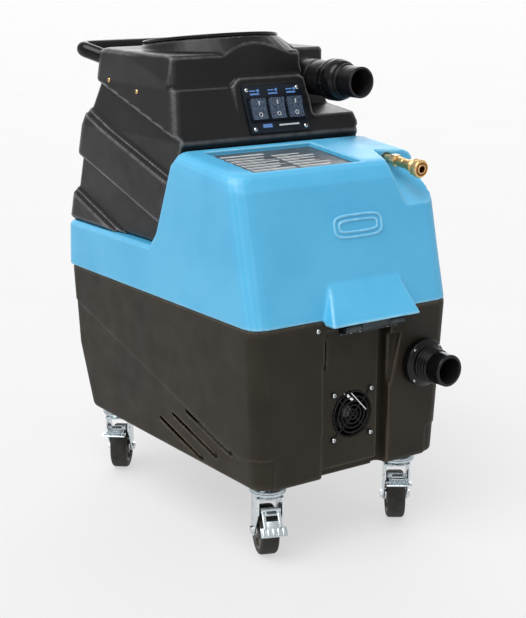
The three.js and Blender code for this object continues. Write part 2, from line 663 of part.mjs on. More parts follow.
// The bend at the top turns the air path down, so that the float can close its mouth.
const bendRadius = 28;
const bendCentre = [STANDPIPE.x - bendRadius, STANDPIPE.top + 3];
const bendPoints = [180, 150, 120, 90, 60, 30, 0].map((angle) => {
  const turn = (angle * Math.PI) / 180;
  const x = bendCentre[0] - bendRadius * Math.cos(turn);
  return [x, STANDPIPE.y, bendCentre[1] + bendRadius * Math.sin(turn)];
});
const bendMouth = [bendCentre[0] - bendRadius, STANDPIPE.y, STANDPIPE.top + GAP];
place('vacuum_bend', tubeAlong(
  [[STANDPIPE.x, STANDPIPE.y, STANDPIPE.top + GAP], ...bendPoints, bendMouth],
  STANDPIPE.outer, STANDPIPE.bore, 12, 10,
), 'white');

const FLOAT = { x: bendMouth[0], floor: STANDPIPE.top - 56, ball: 22, hole: 12 };

function floatCage() {
  const top = STANDPIPE.top;
  let cage = turned([[STANDPIPE.bore, top], [30, top], [30, FLOAT.floor - 4], [FLOAT.hole, FLOAT.floor - 4],
    [FLOAT.hole, FLOAT.floor], [26, FLOAT.floor], [26, top - 4], [STANDPIPE.bore, top - 4]],
  'z', [FLOAT.x, STANDPIPE.y, 0], 16);
  for (const angle of [0, 60, 120]) {
    const window = new THREE.BoxGeometry(90, 16, 34);
    window.rotateZ((angle * Math.PI) / 180);
    window.translate(FLOAT.x, STANDPIPE.y, FLOAT.floor + 22);
    cage = cage.subtract(solid(window));
  }
  return cage;
}

place('float_cage', floatCage(), 'white');
const ball = new THREE.SphereGeometry(FLOAT.ball, 14, 8);
ball.rotateX(Math.PI / 2);
ball.translate(FLOAT.x, STANDPIPE.y, FLOAT.floor + Math.sqrt(FLOAT.ball ** 2 - FLOAT.hole ** 2) + 1);
place('float_ball', solid(ball), 'red');

// ---------------------------------------------------------------- drain valve at the back
const drainWall = TANK.rear + (TANK.top - DRAIN.z) * TANK.rearLean;
const wallRun = 40 * TANK.rearLean;
const wallSlab = plateX([
  [drainWall - 40, DRAIN.z - 40], [drainWall + 0.5 + wallRun, DRAIN.z - 40],
  [drainWall + 0.5 - wallRun, DRAIN.z + 40], [drainWall - 40, DRAIN.z + 40],
], DRAIN.x - 40, DRAIN.x + 40);
place('drain_valve', union(
  rod(DRAIN.flange, 14, 'y', [DRAIN.x, drainWall - 6, DRAIN.z], 16).subtract(wallSlab),
  turned([[8, -28], [10.4, -28], [10.4, 10], [14, 10], [14, 24], [16, 26], [16, 34], [8, 34]],
    'y', [DRAIN.x, drainWall - 2, DRAIN.z], 16),
  turned([[0, 0], [6, 0], [6, 8], [0, 8]], 'z', [DRAIN.x, drainWall + 17, DRAIN.z + 13.6], 16),
).subtract(rod(8, 80, 'y', [DRAIN.x, drainWall - 31, DRAIN.z], 16)), 'brass');
place('drain_lever', union(
  rod(8, 5, 'z', [DRAIN.x, drainWall + 17, DRAIN.z + 21.9], 16),
  box(DRAIN.x - 6, DRAIN.x + 6, drainWall + 17, drainWall + 30, DRAIN.z + 21.9, DRAIN.z + 25),
  box(DRAIN.x - 6, DRAIN.x + 62, drainWall + 11, drainWall + 23, DRAIN.z + 23, DRAIN.z + 27),
), 'red');

// ---------------------------------------------------------------- service hinge
function hingeKnuckle([x0, x1]) {
  return rod(HINGE.knuckle, x1 - x0, 'x', [x0, HINGE.y, HINGE.z], 20)
    .add(box(x0, x1, HINGE.y, -289.6, HINGE.z - 7, HINGE.z + 6));
}

const baseSpans = [[-36, -6], [50, 80]];
const tankSpan = [-5, 49];
const tankLength = tankSpan[1] - tankSpan[0];
const baseLeaf = union(
  ...baseSpans.map(hingeKnuckle),
  box(-36, 80, -292.6, -289.6, HINGE.z - 12, HINGE.z + 6),
).subtract(rod(HINGE.knuckle + 0.6, tankLength + 0.8, 'x', [tankSpan[0] - 0.4, HINGE.y, HINGE.z], 20))
  .subtract(rod(HINGE.pin + GAP, 200, 'x', [-60, HINGE.y, HINGE.z], 20));
place('base_hinge_leaf', baseLeaf, 'zinc');
place('tank_hinge_leaf', union(
  rod(HINGE.knuckle, tankLength, 'x', [tankSpan[0], HINGE.y, HINGE.z], 20),
  box(tankSpan[0], tankSpan[1], HINGE.y - 7, HINGE.y - 4, HINGE.z, BASE.top + 2.1),
  box(tankSpan[0], tankSpan[1], HINGE.y - 7, -289.2, BASE.top - 0.8, BASE.top + 2.1),
).subtract(rod(HINGE.pin + GAP, 80, 'x', [-12, HINGE.y, HINGE.z], 20)), 'zinc');
place('hinge_pin', rod(HINGE.pin, 118, 'x', [-37, HINGE.y, HINGE.z], 16), 'steel');

// ---------------------------------------------------------------- exhaust port
place('exhaust_port', turned([
  [PORT.bore, PORT.mouthY], [PORT.tube - 0.8, PORT.mouthY], [PORT.tube, PORT.mouthY + 1], [PORT.tube, -322],
  [31, -318], [33, -306], [PORT.flange, -302], [PORT.flange, -289.4], [23.4, -289.4], [23.4, -262],
  [PORT.bore, -262],
], 'y', [PORT.x, 0, PORT.z], 24), 'gloss');

// ---------------------------------------------------------------- cooling fan
const fanFace = -280.5 - GAP;

function torus(radius, wire, y) {
  const geometry = new THREE.TorusGeometry(radius, wire, 4, 20);
  geometry.rotateX(Math.PI / 2);
  geometry.translate(FAN.x, y, FAN.z);
  return solid(geometry);
}

function fanGrille() {
  let body = torus(37.5, 1.4, fanFace - 1.4);
  for (const radius of [11, 20, 29]) body = body.add(torus(radius, 1.2, fanFace - 2.6));
  for (const turn of [45, 135]) {
    const bar = new THREE.BoxGeometry(106, 2, 2.4);
    bar.rotateY((turn * Math.PI) / 180);
    bar.translate(FAN.x, fanFace - 1.4, FAN.z);
    body = body.add(solid(bar));
  }
  for (const dx of [-FAN.screw, FAN.screw]) {
    for (const dz of [-FAN.screw, FAN.screw]) {
      body = body.add(turned([[0, 0], [5, 0], [5, 1.6], [3.6, 3.8], [0, 4.4]].map(([r, h]) => [r, -h]),
        'y', [FAN.x + dx, fanFace, FAN.z + dz], 10));
    }
  }
  return body;
}

place('fan_grille', fanGrille(), 'steel');

const fanBack = -268 + GAP;
function fanFrame() {
  let body = box(-FAN.frame, FAN.frame, fanBack, fanBack + 25, FAN.z - FAN.frame, FAN.z + FAN.frame);
  body = body.subtract(rod(FAN.opening - 1, 60, 'y', [FAN.x, fanBack - 5, FAN.z], 32));
  body = body.add(rod(14, 6, 'y', [FAN.x, fanBack + 19, FAN.z], 20));
  body = body.add(box(-38, 38, fanBack + 22, fanBack + 25, FAN.z - 2.5, FAN.z + 2.5));
  return body.add(box(-2.5, 2.5, fanBack + 22, fanBack + 25, FAN.z - 38, FAN.z + 38));
}

place('fan_frame', fanFrame(), 'gloss');

function impeller() {
  let body = rod(14, 16, 'y', [0, 1.5, 0], 20);
  for (let k = 0; k < 7; k += 1) {
    const blade = new THREE.BoxGeometry(23, 2, 15);
    blade.rotateX(Math.PI / 5);
    blade.translate(23.5, 9.5, 0);
    blade.rotateY((k * 2 * Math.PI) / 7);
    body = body.add(solid(blade));
  }
  return body;
}

place('fan_impeller', impeller(), 'gloss', spot(FAN.x, fanBack, FAN.z));

// ---------------------------------------------------------------- working parts in the base
const floorZ = BASE.bottom + 6 + GAP;
const OUTLET = { x: 104, y: 30, z: 268 };
place('vacuum_motor', union(
  turned([[0, 0], [52, 0], [52, 84], [72, 88], [72, 190], [66, 196], [30, 196], [30, 236 - GAP],
    [20, 236 - GAP], [20, 190], [0, 190]], 'z', [STANDPIPE.x, STANDPIPE.y, floorZ + 4], 20),
  rod(25, 90, 'y', [OUTLET.x, OUTLET.y, OUTLET.z], 16),
  box(STANDPIPE.x - 62, STANDPIPE.x + 62, STANDPIPE.y - 20, STANDPIPE.y + 20, floorZ, floorZ + 5),
), 'cast');
place('solution_pump', union(
  box(-135, -75, 60, 130, floorZ, floorZ + 64),
  rod(34, 100, 'y', [-105, 129, floorZ + 36], 24),
  rod(7, 14, 'z', [-120, 80, floorZ + 63], 12),
  rod(7, 14, 'z', [-90, 80, floorZ + 63], 12),
), 'cast');
place('inline_heater', union(
  box(-150, -40, -210, -40, floorZ, floorZ + 46),
  rod(7, 16, 'z', [-130, -190, floorZ + 45], 12),
  rod(7, 16, 'z', [-60, -190, floorZ + 45], 12),
), 'cast');
place('exhaust_hose', tubeAlong([
  [OUTLET.x, OUTLET.y - GAP, OUTLET.z], [OUTLET.x, OUTLET.y - 30, OUTLET.z], [PORT.x, -120, PORT.z],
  [PORT.x, -262 + GAP, PORT.z],
], 24, 20, 12, 10), 'rubber');

for (const side of [-1, 1]) {
  const name = side < 0 ? 'power_inlet_left' : 'power_inlet_right';
  const x = side * 60;
  const { wallY, z } = POWER;
  place(name, union(
    box(x - 15.5, x + 15.5, wallY - 22, wallY + 3, z - 12.5, z + 12.5),
    box(x - 24, x + 24, wallY + GAP, wallY + 3.3, z - 17, z + 17),
  ).subtract(box(x - 12, x + 12, wallY - 12, wallY + 10, z - 9, z + 9)), 'gloss');
}

// ---------------------------------------------------------------- casters
function casterPlate() {
  const top = BASE.bottom - GAP;
  return union(box(-30, 30, -26, 26, top - 3, top), rod(24, 6, 'z', [0, 0, top - 8], 20, 28));
}

function casterFork() {
  const { wheel, trail } = CASTER;
  const top = BASE.bottom - 8.6;
  const race = [[0, top - 12.4], [25, top - 12.4], [29, top - 6.4], [29, top], [0, top]];
  const head = turned(race, 'z', [0, 0, 0], 16);
  const leg = [[-22, top - 10], [24, top - 10], [24, top - 28], [trail + 9, wheel - 4],
    [trail + 5, wheel - 9], [trail - 5, wheel - 9], [trail - 9, wheel - 4], [-22, top - 40]];
  const crown = box(-22.5, 22.5, -22, 24, top - 15, top - 11);
  const axle = rod(4, 51, 'x', [-25.5, trail, wheel], 10);
  return union(head, crown, plateX(leg, -21, -18.2), plateX(leg, 18.2, 21), axle);
}

const WHEEL_SIDES = 24;

// The tread is faceted, and one flat facet lies on the floor.
function casterWheel() {
  const half = CASTER.width / 2;
  const r = CASTER.wheel / Math.cos(Math.PI / WHEEL_SIDES);
  return turned([
    [4.5, -17.4], [9, -17.4], [9, -half], [r - 5, -half], [r, -half + 6], [r, half - 6], [r - 5, half],
    [9, half], [9, 17.4], [4.5, 17.4],
  ], 'x', [0, 0, 0], WHEEL_SIDES);
}

function casterPedal(down) {
  const bend = down ? 50 : 4;
  const arm = new THREE.BoxGeometry(30, 36, 2.4);
  arm.translate(0, -16, 0);
  const slot = new THREE.BoxGeometry(20, 9, 8);
  slot.translate(0, -16, 0);
  const lip = new THREE.BoxGeometry(42, 16, 2.4);
  lip.translate(0, -38, 0);
  const turnBy = (geometry) => geometry.rotateX((bend * Math.PI) / 180);
  const barrel = rod(4, 32, 'x', [-16, 0, -2], 10);
  return union(solid(turnBy(arm)), solid(turnBy(lip)), barrel).subtract(solid(turnBy(slot)));
}

for (const [corner, turn] of Object.entries(CASTER_TURN)) {
  const x = corner.endsWith('left') ? -CASTER.x : CASTER.x;
  const y = corner.startsWith('front') ? -CASTER.y : CASTER.y;
  place(`caster_plate_${corner}`, casterPlate(), 'zinc', spot(x, y, 0));
  const swivel = spot(x, y, 0, 0, turn);
  place(`caster_fork_${corner}`, casterFork(), 'zinc', swivel);
  const hub = new THREE.Group();
  hub.position.set(0, CASTER.trail, CASTER.wheel);
  swivel.add(hub);
  hub.rotation.x = Math.PI / WHEEL_SIDES;
  place(`caster_wheel_${corner}`, casterWheel(), 'rubber', hub);
  const pivot = new THREE.Group();
  pivot.position.set(0, CASTER.pedalY, CASTER.pedalZ);
  swivel.add(pivot);
  place(`caster_pedal_${corner}`, casterPedal(corner === 'front_left'), 'zinc', pivot);
}

export default machine;
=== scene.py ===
"""Spot extractor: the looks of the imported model. Lengths in the helpers are millimetres. They are
measured 289 mm behind the top front edge of the base: +Z up from the floor, the front faces -Y."""
import json
import math

import bmesh
import bpy
from mathutils import Matrix, Vector


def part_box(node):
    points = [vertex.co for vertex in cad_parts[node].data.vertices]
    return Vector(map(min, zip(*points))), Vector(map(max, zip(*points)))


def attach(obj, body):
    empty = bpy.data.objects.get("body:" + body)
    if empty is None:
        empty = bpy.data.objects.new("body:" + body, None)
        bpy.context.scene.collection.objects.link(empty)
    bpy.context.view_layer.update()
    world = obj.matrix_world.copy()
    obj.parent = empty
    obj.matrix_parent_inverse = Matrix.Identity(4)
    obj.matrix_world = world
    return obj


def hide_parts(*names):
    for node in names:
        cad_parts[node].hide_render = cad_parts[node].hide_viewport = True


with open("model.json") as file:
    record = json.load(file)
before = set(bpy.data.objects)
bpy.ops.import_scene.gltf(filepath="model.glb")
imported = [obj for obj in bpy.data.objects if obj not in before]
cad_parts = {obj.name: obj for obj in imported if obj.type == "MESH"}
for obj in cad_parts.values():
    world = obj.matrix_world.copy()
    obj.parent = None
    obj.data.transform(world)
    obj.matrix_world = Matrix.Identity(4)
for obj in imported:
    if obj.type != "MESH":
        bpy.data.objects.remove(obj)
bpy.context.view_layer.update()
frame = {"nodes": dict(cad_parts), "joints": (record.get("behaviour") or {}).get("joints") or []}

MM = 0.001
BASE_FRONT = -289
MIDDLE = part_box("base_housing")[0].y - BASE_FRONT * MM  # the row's y of the working origin
WORK = Matrix.Translation((0, MIDDLE, 0)) @ Matrix.Scale(MM, 4)  # working millimetres to the row frame
JOINTS = {j["name"]: j for j in frame["joints"]}
CORNERS = ("front_left", "front_right", "rear_left", "rear_right")


def box_mm(node):
    low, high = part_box(node)
    shift = Vector((0, MIDDLE, 0))
    return (low - shift) / MM, (high - shift) / MM


def middle_mm(node):
    low, high = box_mm(node)
    return (low + high) / 2


def joint_mm(name):
    return (Vector(JOINTS[name]["pos_m"]) - Vector((0, MIDDLE, 0))) / MM


# ---------------------------------------------------------------- camera, light and floor
RANGE_SOCKETS = ("From Min", "From Max", "To Min", "To Max")
CAMERA_AT = (-1.31751, -1.92080, 0.93451)
CAMERA_TURN, CAMERA_DIP = 34.81, 14.39
LENS = 82.2


def make_camera():
    data = bpy.data.cameras.new("camera")
    data.lens = LENS
    data.clip_end = 200
    camera = bpy.data.objects.new("camera", data)
    camera.location = CAMERA_AT
    camera.rotation_euler = (math.radians(90 - CAMERA_DIP), 0, -math.radians(CAMERA_TURN))
    bpy.context.scene.collection.objects.link(camera)
    bpy.context.scene.camera = camera


def area_light(name, at, aim, size, power):
    data = bpy.data.lights.new(name, "AREA")
    data.shape = "RECTANGLE"
    data.size, data.size_y = size
    data.energy = power
    light = bpy.data.objects.new(name, data)
    light.location = at
    light.rotation_euler = (Vector(aim) - Vector(at)).to_track_quat("-Z", "Y").to_euler()
    bpy.context.scene.collection.objects.link(light)


def broad_light(name, source, power, spread):
    """Even light from one side over the whole floor, as wide as its spread in degrees."""
    data = bpy.data.lights.new(name, "SUN")
    data.energy = power
    data.angle = math.radians(spread)
    light = bpy.data.objects.new(name, data)
    light.rotation_euler = Vector(source).to_track_quat("Z", "Y").to_euler()
    bpy.context.scene.collection.objects.link(light)


def bright_behind(tree, background, direction, dim, bright):
    """A studio wall that glows softly behind the subject, and dims to the rest of the room."""
    place = tree.nodes.new("ShaderNodeTexCoord").outputs["Generated"]
    dot = tree.nodes.new("ShaderNodeVectorMath")
    dot.operation = "DOT_PRODUCT"
    dot.inputs[1].default_value = Vector(direction).normalized()
    tree.links.new(place, dot.inputs[0])
    glow = tree.nodes.new("ShaderNodeMapRange")
    glow.interpolation_type = "SMOOTHSTEP"
    for socket, number in zip(RANGE_SOCKETS, (0.78, 0.97, dim, bright)):
        glow.inputs[socket].default_value = number
    tree.links.new(dot.outputs["Value"], glow.inputs["Value"])
    tree.links.new(glow.outputs["Result"], background.inputs["Strength"])


def make_light():
    scene = bpy.context.scene
    scene.view_settings.view_transform = "Standard"
    world = bpy.data.worlds.new("studio")
    scene.world = world
    world.use_nodes = True
    background = world.node_tree.nodes["Background"]
    background.inputs["Color"].default_value = (0.99, 0.99, 1.0, 1)
    bright_behind(world.node_tree, background, (0.55, 0.80, 0.26), 0.56, 2.6)
    broad_light("key", (-0.47, -0.15, 0.868), 2.55, 48)
    area_light("strip", (-1.6, -1.9, 1.9), (0, -0.1, 0.5), (0.25, 1.2), 4)


def make_floor():
    mesh = bpy.data.meshes.new("floor")
    half = 60
    corners = [(-half, -half, 0), (half, -half, 0), (half, half, 0), (-half, half, 0)]
    mesh.from_pydata(corners, [], [(0, 1, 2, 3)])
    floor = bpy.data.objects.new("floor", mesh)
    mesh.materials.append(plain_floor())
    bpy.context.scene.collection.objects.link(floor)


# ---------------------------------------------------------------- materials
class Look:
    """A Principled material with helpers for grain, paler rubbed edges that also serve as painted edge
    highlights, and relief.
    """

    def __init__(self, name, rough, metal=0.0, **sockets):
        self.material = bpy.data.materials.new(name)
        self.material.use_nodes = True
        self.tree = self.material.node_tree
        self.shader = self.tree.nodes["Principled BSDF"]
        self.shader.inputs["Roughness"].default_value = rough
        self.shader.inputs["Metallic"].default_value = metal
        for socket, value in sockets.items():
            self.shader.inputs[socket.replace("_", " ")].default_value = value
        self.place = self.tree.nodes.new("ShaderNodeTexCoord").outputs["Object"]
        self.normal = None

    def link(self, a, b):
        self.tree.links.new(a, b)

    def noise(self, scale, detail=3.0, stretch=(1, 1, 1)):
        mapping = self.tree.nodes.new("ShaderNodeMapping")
        mapping.inputs["Scale"].default_value = stretch
        self.link(self.place, mapping.inputs["Vector"])
        node = self.tree.nodes.new("ShaderNodeTexNoise")
        node.inputs["Scale"].default_value = scale
        node.inputs["Detail"].default_value = detail
        node.inputs["Roughness"].default_value = 0.55
        self.link(mapping.outputs["Vector"], node.inputs["Vector"])
        return node.outputs["Fac"]

    def between(self, value, low, high, to_low, to_high):
        node = self.tree.nodes.new("ShaderNodeMapRange")
        for socket, number in zip(RANGE_SOCKETS, (low, high, to_low, to_high)):
            node.inputs[socket].default_value = number
        self.link(value, node.inputs["Value"])
        return node.outputs["Result"]

    def mix(self, factor, a, b):
        node = self.tree.nodes.new("ShaderNodeMix")
        node.data_type = "RGBA"
        self.link(factor, node.inputs["Factor"])
        for socket, value in ((node.inputs["A"], a), (node.inputs["B"], b)):
            if isinstance(value, tuple):
                socket.default_value = (*value, 1)
            else:
                self.link(value, socket)
        return node.outputs["Result"]

    def mottle(self, dark, light, scale, low=0.35, high=0.65):
        return self.mix(self.between(self.noise(scale), low, high, 0, 1), dark, light)

    def edge_wear_and_highlight(self, colour, worn_and_lit, amount, low=0.52, high=0.6):
        # Paler patches on pointy edges: rubbed edges, and where the tone is pale and the reach tight, as on
        # the black tank, painted edge highlight.
        edge = self.tree.nodes.new("ShaderNodeNewGeometry").outputs["Pointiness"]
        patchy = self.between(self.noise(60, 4), 0.3, 0.7, 0.3, amount)
        times = self.tree.nodes.new("ShaderNodeMath")
        times.operation = "MULTIPLY"
        self.link(self.between(edge, low, high, 0, 1), times.inputs[0])
        self.link(patchy, times.inputs[1])
        return self.mix(times.outputs["Value"], colour, worn_and_lit)

    def colour(self, value):
        self.link(value, self.shader.inputs["Base Color"])
        return self

    def roughness(self, scale, low, high, stretch=(1, 1, 1)):
        gloss = self.between(self.noise(scale, 4, stretch), 0.3, 0.7, low, high)
        self.link(gloss, self.shader.inputs["Roughness"])
        return self

    def relief(self, height, depth_mm, strength):
        bump = self.tree.nodes.new("ShaderNodeBump")
        bump.inputs["Distance"].default_value = depth_mm * MM
        bump.inputs["Strength"].default_value = strength
        self.link(height, bump.inputs["Height"])
        if self.normal is not None:
            self.link(self.normal, bump.inputs["Normal"])
        self.normal = bump.outputs["Normal"]
        self.link(self.normal, self.shader.inputs["Normal"])
        return self


def srgb(text):
    """A colour written as in a paint chart, as the linear numbers a shader wants."""
    values = [int(text[k:k + 2], 16) / 255 for k in (0, 2, 4)]
    return tuple(v / 12.92 if v <= 0.04045 else ((v + 0.055) / 1.055) ** 2.4 for v in values)


def plain_floor():
    """A pale lit table: most of its brightness is its own, so shadows on it stay soft."""
    look = Look("pale_floor", rough=0.9, Emission_Color=(1, 1, 1, 1), Emission_Strength=0.575)
    look.colour(look.mottle(srgb("7f7f7f"), srgb("818181"), 2))
    return look.material


def moulded(name, dark, light, worn_and_lit, rough, grain=0.05, peel=0.09, shine=0.45, edge=0.56):
    """Rotomoulded plastic: slow waviness, orange peel, fine grain, and paler edges, which are rubbed, and on
    the black tank are mostly painted highlight along the groove ledges.
    """
    look = Look(name, rough=rough, Specular_IOR_Level=shine)
    body = look.mottle(srgb(dark), srgb(light), 9)
    look.colour(look.edge_wear_and_highlight(body, srgb(worn_and_lit), 0.8, 0.505, edge))
    look.roughness(26, rough - 0.07, rough + 0.07)
    look.relief(look.noise(34, 2), 0.35, 0.25)
    look.relief(look.noise(330, 2), peel, 0.5)
    look.relief(look.noise(1500, 2), grain, 0.5)
    return look.material


def glossy(name, dark, light, worn_and_lit, rough=0.2, shine=0.5):
    """Injection-moulded gloss plastic with faint flow marks and hairline scratches."""
    look = Look(name, rough=rough, Specular_IOR_Level=shine, Coat_Weight=0.2 * shine, Coat_Roughness=0.08)
    look.colour(look.edge_wear_and_highlight(look.mottle(srgb(dark), srgb(light), 30), srgb(worn_and_lit), 0.5))
    look.roughness(90, rough - 0.05, rough + 0.12, (1, 1, 6))
    look.relief(look.noise(160, 3), 0.05, 0.4)
    look.relief(look.noise(900, 2, (1, 8, 1)), 0.012, 0.4)
    return look.material


def plated(name, dark, light, worn_and_lit, low, high, cell=140):
    """Plated or machined metal: crystal patches, drawn scratches and uneven gloss."""
    look = Look(name, rough=low, metal=1.0)
    cells = look.tree.nodes.new("ShaderNodeTexVoronoi")
    cells.inputs["Scale"].default_value = cell
    look.link(look.place, cells.inputs["Vector"])
    tone = look.between(cells.outputs["Distance"], 0.0, 0.9, 0.25, 0.75)
    patches = look.mix(tone, srgb(dark), srgb(light))
    look.colour(look.edge_wear_and_highlight(patches, srgb(worn_and_lit), 0.7))
    look.roughness(240, low, high, (1, 1, 5))
    look.relief(look.noise(500, 3, (1, 1, 12)), 0.02, 0.4)
    look.relief(look.noise(70, 2), 0.06, 0.25)
    return look.material


def rubber(name, dark, light, rough=0.72):
    look = Look(name, rough=rough, Specular_IOR_Level=0.35)
    look.colour(look.edge_wear_and_highlight(look.mottle(srgb(dark), srgb(light), 40), srgb("5c5a56"), 0.7))
    look.roughness(120, rough - 0.1, rough + 0.12)
    look.relief(look.noise(700, 3), 0.08, 0.6)
    look.relief(look.noise(90, 3), 0.12, 0.3)
    return look.material


def speckled(name, dark, light):
    """Flexible switch skin with a fine two-tone speckle."""
    look = Look(name, rough=0.55, Specular_IOR_Level=0.35)
    look.colour(look.mottle(srgb(dark), srgb(light), 420, 0.45, 0.6))
    look.roughness(120, 0.45, 0.65)
    look.relief(look.noise(500, 2), 0.06, 0.5)
    return look.material


def smoked():
    """Dark translucent lid plastic."""
    look = Look("smoked_plastic", rough=0.12, Specular_IOR_Level=0.55, Coat_Weight=0.4, Coat_Roughness=0.05)
    look.colour(look.mottle(srgb("17181a"), srgb("232528"), 14))
    look.roughness(60, 0.08, 0.2)
    look.relief(look.noise(120, 2), 0.05, 0.3)
    return look.material


def make_looks():
    return {
        "charcoal": moulded("charcoal_roto", "26221b", "2d2820", "5e564a", 0.5, shine=0.18),
        # The black tank's pale edge tone and tight edge reach paint highlight lines along its groove ledges,
        # besides some rubbed edges.
        "tank": moulded("black_roto", "121213", "19191a", "7c7c7d", 0.38, shine=0.26, edge=0.538),
        "inlet": moulded("black_cuff", "0b0b0c", "111113", "3c3c3f", 0.28, 0.02, 0.03, shine=0.22),
        "blue": moulded("sky_blue_roto", "48a7d3", "52afd9", "a8dcf0", 0.4, 0.03, 0.06, shine=0.5),
        "gloss": glossy("gloss_black", "070707", "0d0d0d", "343434", 0.16, 0.26),
        "panel": glossy("panel_navy", "05080e", "080e18", "263240", 0.4, 0.22),
        "boot": speckled("switch_boot", "2d3846", "56657a"),
        "mark": glossy("panel_mark", "1c4f9c", "2d68b8", "7fa9dc", 0.4),
        "pale": glossy("pale_print", "a3a9ad", "c3c8ca", "e2e4e4", 0.45),
        "zinc": plated("bright_zinc", "aebbc2", "dfe8ec", "f4f8fa", 0.16, 0.34),
        "dark_zinc": plated("dull_zinc", "23282b", "363c40", "7a8185", 0.4, 0.6),
        "steel": plated("bright_steel", "b9bdbf", "e4e6e7", "f6f6f6", 0.12, 0.28, 300),
        "brass": plated("machined_brass", "cfa45f", "efcf95", "fbe9c6", 0.28, 0.44, 260),
        "matte": moulded("fan_plastic", "0d0d0e", "131314", "2a2a2b", 0.65, shine=0.15),
        "copper": plated("worn_bore", "5a3013", "7d4720", "a86b38", 0.35, 0.55),
        "rubber": rubber("wheel_tread", "282725", "34322f"),
        "hub": moulded("wheel_hub", "33322f", "403e3a", "6d6a65", 0.45),
        # Near-black paint for screw cross recesses: painted shade of the recess.
        "recess_shade": rubber("painted_recess_shade", "050505", "0a0a0a", 0.8),
        "lid": smoked(),
        "cast": plated("cast_housing", "5f6468", "82888c", "b1b6b9", 0.4, 0.62, 420),
        "label": glossy("label_film", "35383b", "44484b", "6a6e72", 0.4),
        "red": glossy("red_plastic", "8f1712", "b3261e", "dd6a5f", 0.3),
        "white": glossy("white_pvc", "cfcdc6", "e4e2dc", "f7f6f2", 0.35),
    }


# ---------------------------------------------------------------- shapes
def fillet(profile, radius, steps=3):
    """The same open line with its corners rounded."""
    points = [Vector(p) for p in profile]
    out = [points[0]]
    for before, corner, after in zip(points, points[1:], points[2:]):
        to_before, to_after = before - corner, after - corner
        reach = min(radius, to_before.length * 0.45, to_after.length * 0.45)
        start = corner + to_before.normalized() * reach
        end = corner + to_after.normalized() * reach
        for k in range(steps + 1):
            t = k / steps
            out.append(start * (1 - t) ** 2 + corner * 2 * t * (1 - t) + end * t ** 2)
    return [*out, points[-1]]


def towards(axis, at):
    """The matrix that turns +Z to the axis and moves the origin to a point."""
    turn = Vector(axis).to_track_quat("Z", "Y").to_matrix().to_4x4()
    return Matrix.Translation(at) @ turn


def baked(holder):
    """The mesh that an object's curve or modifiers make. The object itself is removed."""
    mesh = bpy.data.meshes.new_from_object(holder.evaluated_get(bpy.context.evaluated_depsgraph_get()))
    bpy.data.objects.remove(holder)
    return mesh


SOFT = 0.6  # how round a bevel is: 0.5 is a true arc
UPRIGHT = Matrix(((0, 0, 1, 0), (1, 0, 0, 0), (0, 1, 0, 0), (0, 0, 0, 1)))  # outline XY to YZ, thick along X


